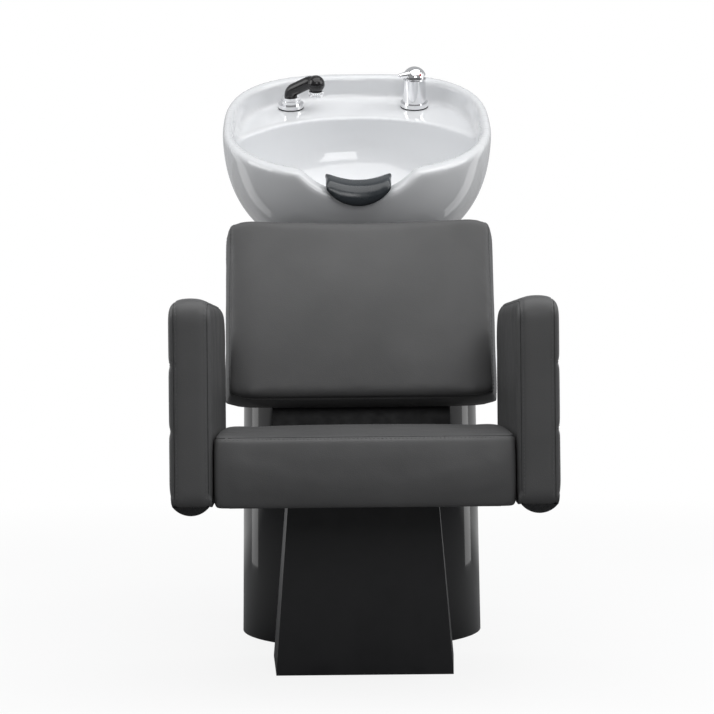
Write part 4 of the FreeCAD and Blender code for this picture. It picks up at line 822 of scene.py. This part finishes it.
class BACKWASH_OT_spray_rose(Operator):
    """Cuts the ribbed ring of the spray's nozzle"""

    bl_idname = "backwash.spray_rose"
    bl_label = "Spray Nozzle Ring"

    def execute(self, context):
        above_middle = 0.0012
        low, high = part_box("spray_nozzle")
        middle = (Vector(low) + Vector(high)) / 2
        up = Vector((0, -math.sin(BOWL_TILT), math.cos(BOWL_TILT)))
        bpy.ops.object.select_all(action='DESELECT')
        bpy.ops.mesh.primitive_cylinder_add(vertices=48, radius=0.0142, depth=0.0052, end_fill_type='NOTHING',
                                            location=middle + up * above_middle, rotation=(BOWL_TILT, 0, 0))
        ring = bpy.context.view_layer.objects.active
        ring.name = "nozzle_ring"
        edit(ring)
        bpy.ops.mesh.select_mode(type='FACE')
        bpy.ops.mesh.select_all(action='DESELECT')
        done()
        for face in ring.data.polygons:
            face.select = face.index % 2 == 0
        bpy.ops.object.mode_set(mode='EDIT')
        bpy.ops.mesh.inset(thickness=0.0002, use_individual=True)
        bpy.ops.mesh.extrude_region_shrink_fatten(TRANSFORM_OT_shrink_fatten={"value": 0.0008})
        done()
        bpy.ops.object.transform_apply(location=True, rotation=True, scale=True)
        apply(ring, 'SOLIDIFY', thickness=0.0006, offset=-1)
        finish_piece(ring, "spray", "Chrome", "chrome")
        return {'FINISHED'}


class BACKWASH_OT_studio(Operator):
    """Sets up the pale floor, the lamps and the camera"""

    bl_idname = "backwash.studio"
    bl_label = "Studio"

    def execute(self, context):
        studio = context.scene.studio
        self.backdrop(studio)
        self.lamps(studio)
        self.world(context.scene)
        camera = bpy.data.cameras.new("Camera")
        camera.lens = studio.lens
        camera.sensor_width = 36
        camera.shift_x, camera.shift_y = studio.shift
        holder = bpy.data.objects.new("Camera", camera)
        holder.location = (studio.side, -studio.distance, studio.eye_height)
        holder.rotation_euler = (math.pi / 2, studio.roll, 0)
        context.scene.collection.objects.link(holder)
        context.scene.camera = holder
        context.scene.view_settings.view_transform = 'Standard'
        return {'FINISHED'}

    def backdrop(self, studio):
        """A wide floor that the camera sees as white, but for the unit's shadow."""
        bpy.ops.object.select_all(action='DESELECT')
        bpy.ops.mesh.primitive_plane_add(size=studio.floor_size, location=(0, 0, 0))
        floor = bpy.context.view_layer.objects.active
        floor.name = "backdrop"
        tone = studio.floor_tone
        backdrop = Finish("Pale backdrop", (tone, tone, tone), 0.9)
        backdrop.set(Specular_IOR_Level=0.1)
        tree = backdrop.tree
        path = tree.nodes.new("ShaderNodeLightPath").outputs
        by_ray = backdrop.ramp(path["Is Camera Ray"], studio.floor_bounce, tone, 0, 1)
        tree.links.new(by_ray, backdrop.shader.inputs["Base Color"])
        glow = tree.nodes.new("ShaderNodeEmission")
        glow.inputs["Color"].default_value = (1, 1, 1, 1)
        glow.inputs["Strength"].default_value = 1.0
        split = tree.nodes.new("ShaderNodeSeparateXYZ")
        tree.links.new(backdrop.place, split.inputs["Vector"])
        behind = backdrop.ramp(split.outputs["Y"], 0, 0.35, start=0.9, end=1.6)
        mirrored = math_node(tree, 'MULTIPLY', path["Is Glossy Ray"], behind)
        away = tree.nodes.new("ShaderNodeVectorMath")
        away.operation = 'LENGTH'
        tree.links.new(backdrop.place, away.inputs[0])
        white = backdrop.ramp(away.outputs["Value"], 0.86, 1, start=0.8, end=2.6)
        straight = math_node(tree, 'MAXIMUM', path["Is Camera Ray"], path["Is Transmission Ray"])
        mix_shaders(tree, math_node(tree, 'MULTIPLY_ADD', straight, white, mirrored),
                    backdrop.shader.outputs["BSDF"], glow.outputs["Emission"],
                    tree.nodes["Material Output"].inputs["Surface"])
        floor.data.materials.append(backdrop.material)

    def lamps(self, studio):
        """One wide lamp overhead, panels and low strips at the sides and a weak lamp in front."""
        plans = [
            ("Overhead", (0.4, -1.2, 3.4), (0, -0.1, 0.5), 4.4, 3.4, 96),
            ("Right panel", (1.9, -0.1, 1.75), (0, 0.1, 0.9), 1.2, 1.4, 13),
            ("Left panel", (-1.9, -0.1, 1.75), (0, 0.1, 0.9), 1.2, 1.4, 13),
            ("Right strip", (1.05, 0.75, 0.8), (0, 0.3, 0.8), 0.28, 1.6, 1.0),
            ("Left strip", (-1.05, 0.75, 0.8), (0, 0.3, 0.8), 0.28, 1.6, 0.8),
            ("Front fill", (0.9, -4.4, 1.9), (0, 0, 0.6), 1.8, 1.4, 28),
        ]
        for name, at, toward, width, height, power in plans:
            lamp = bpy.data.lights.new(name, 'AREA')
            lamp.shape = 'RECTANGLE'
            lamp.size = width
            lamp.size_y = height
            lamp.energy = power * studio.lamp_power
            holder = bpy.data.objects.new(name, lamp)
            holder.location = at
            holder.rotation_euler = (Vector(toward) - Vector(at)).to_track_quat('-Z', 'Y').to_euler()
            bpy.context.scene.collection.objects.link(holder)

    def world(self, scene):
        """White to the camera, and in part to mirrored rays; else a dim room, lighter behind the unit."""
        world = bpy.data.worlds.new("Studio")
        scene.world = world
        world.use_nodes = True
        tree = world.node_tree
        room = tree.nodes["Background"]
        room.inputs["Color"].default_value = (0.93, 0.96, 1, 1)
        place = tree.nodes.new("ShaderNodeTexCoord")
        split = tree.nodes.new("ShaderNodeSeparateXYZ")
        tree.links.new(place.outputs["Generated"], split.inputs["Vector"])
        wall = tree.nodes.new("ShaderNodeMapRange")
        wall.interpolation_type = 'SMOOTHSTEP'
        wall.inputs["From Min"].default_value = -0.25
        wall.inputs["From Max"].default_value = 0.25
        wall.inputs["To Min"].default_value = 0.12
        wall.inputs["To Max"].default_value = 0.35
        tree.links.new(split.outputs["Y"], wall.inputs["Value"])
        tree.links.new(wall.outputs["Result"], room.inputs["Strength"])
        white = tree.nodes.new("ShaderNodeBackground")
        white.inputs["Color"].default_value = (1, 1, 1, 1)
        path = tree.nodes.new("ShaderNodeLightPath").outputs
        straight = math_node(tree, 'MAXIMUM', path["Is Camera Ray"], path["Is Transmission Ray"])
        mirrored_share = 0.22
        seen = math_node(tree, 'MULTIPLY_ADD', path["Is Glossy Ray"], mirrored_share, straight)
        mix_shaders(tree, seen, room.outputs["Background"], white.outputs["Background"],
                    tree.nodes["World Output"].inputs["Surface"])


OPERATORS = (BACKWASH_OT_hard_finishes, BACKWASH_OT_seat, BACKWASH_OT_back_rest, BACKWASH_OT_arms,
             BACKWASH_OT_neck_pad, BACKWASH_OT_bowl, BACKWASH_OT_spray_rose, BACKWASH_OT_studio)


class BACKWASH_PT_unit(Panel):
    """Lists the steps that dress the unit"""

    bl_idname = "BACKWASH_PT_unit"
    bl_label = "Backwash Unit"
    bl_space_type = 'VIEW_3D'
    bl_region_type = 'UI'
    bl_category = "Backwash Unit"

    def draw(self, context):
        for operator in OPERATORS:
            self.layout.operator(operator.bl_idname)


CLASSES = (UpholsterySettings, FinishSettings, StudioSettings, *OPERATORS, BACKWASH_PT_unit)


def register():
    for each in CLASSES:
        bpy.utils.register_class(each)
    bpy.types.Scene.upholstery = PointerProperty(type=UpholsterySettings)
    bpy.types.Scene.finishes = PointerProperty(type=FinishSettings)
    bpy.types.Scene.studio = PointerProperty(type=StudioSettings)


def unregister():
    del bpy.types.Scene.studio
    del bpy.types.Scene.finishes
    del bpy.types.Scene.upholstery
    for each in reversed(CLASSES):
        bpy.utils.unregister_class(each)


def main():
    register()
    bpy.ops.backwash.hard_finishes()
    bpy.ops.backwash.seat()
    bpy.ops.backwash.back_rest()
    bpy.ops.backwash.arms()
    bpy.ops.backwash.neck_pad()
    bpy.ops.backwash.bowl()
    bpy.ops.backwash.spray_rose()
    bpy.ops.backwash.studio()


if __name__ == "__main__":
    main()
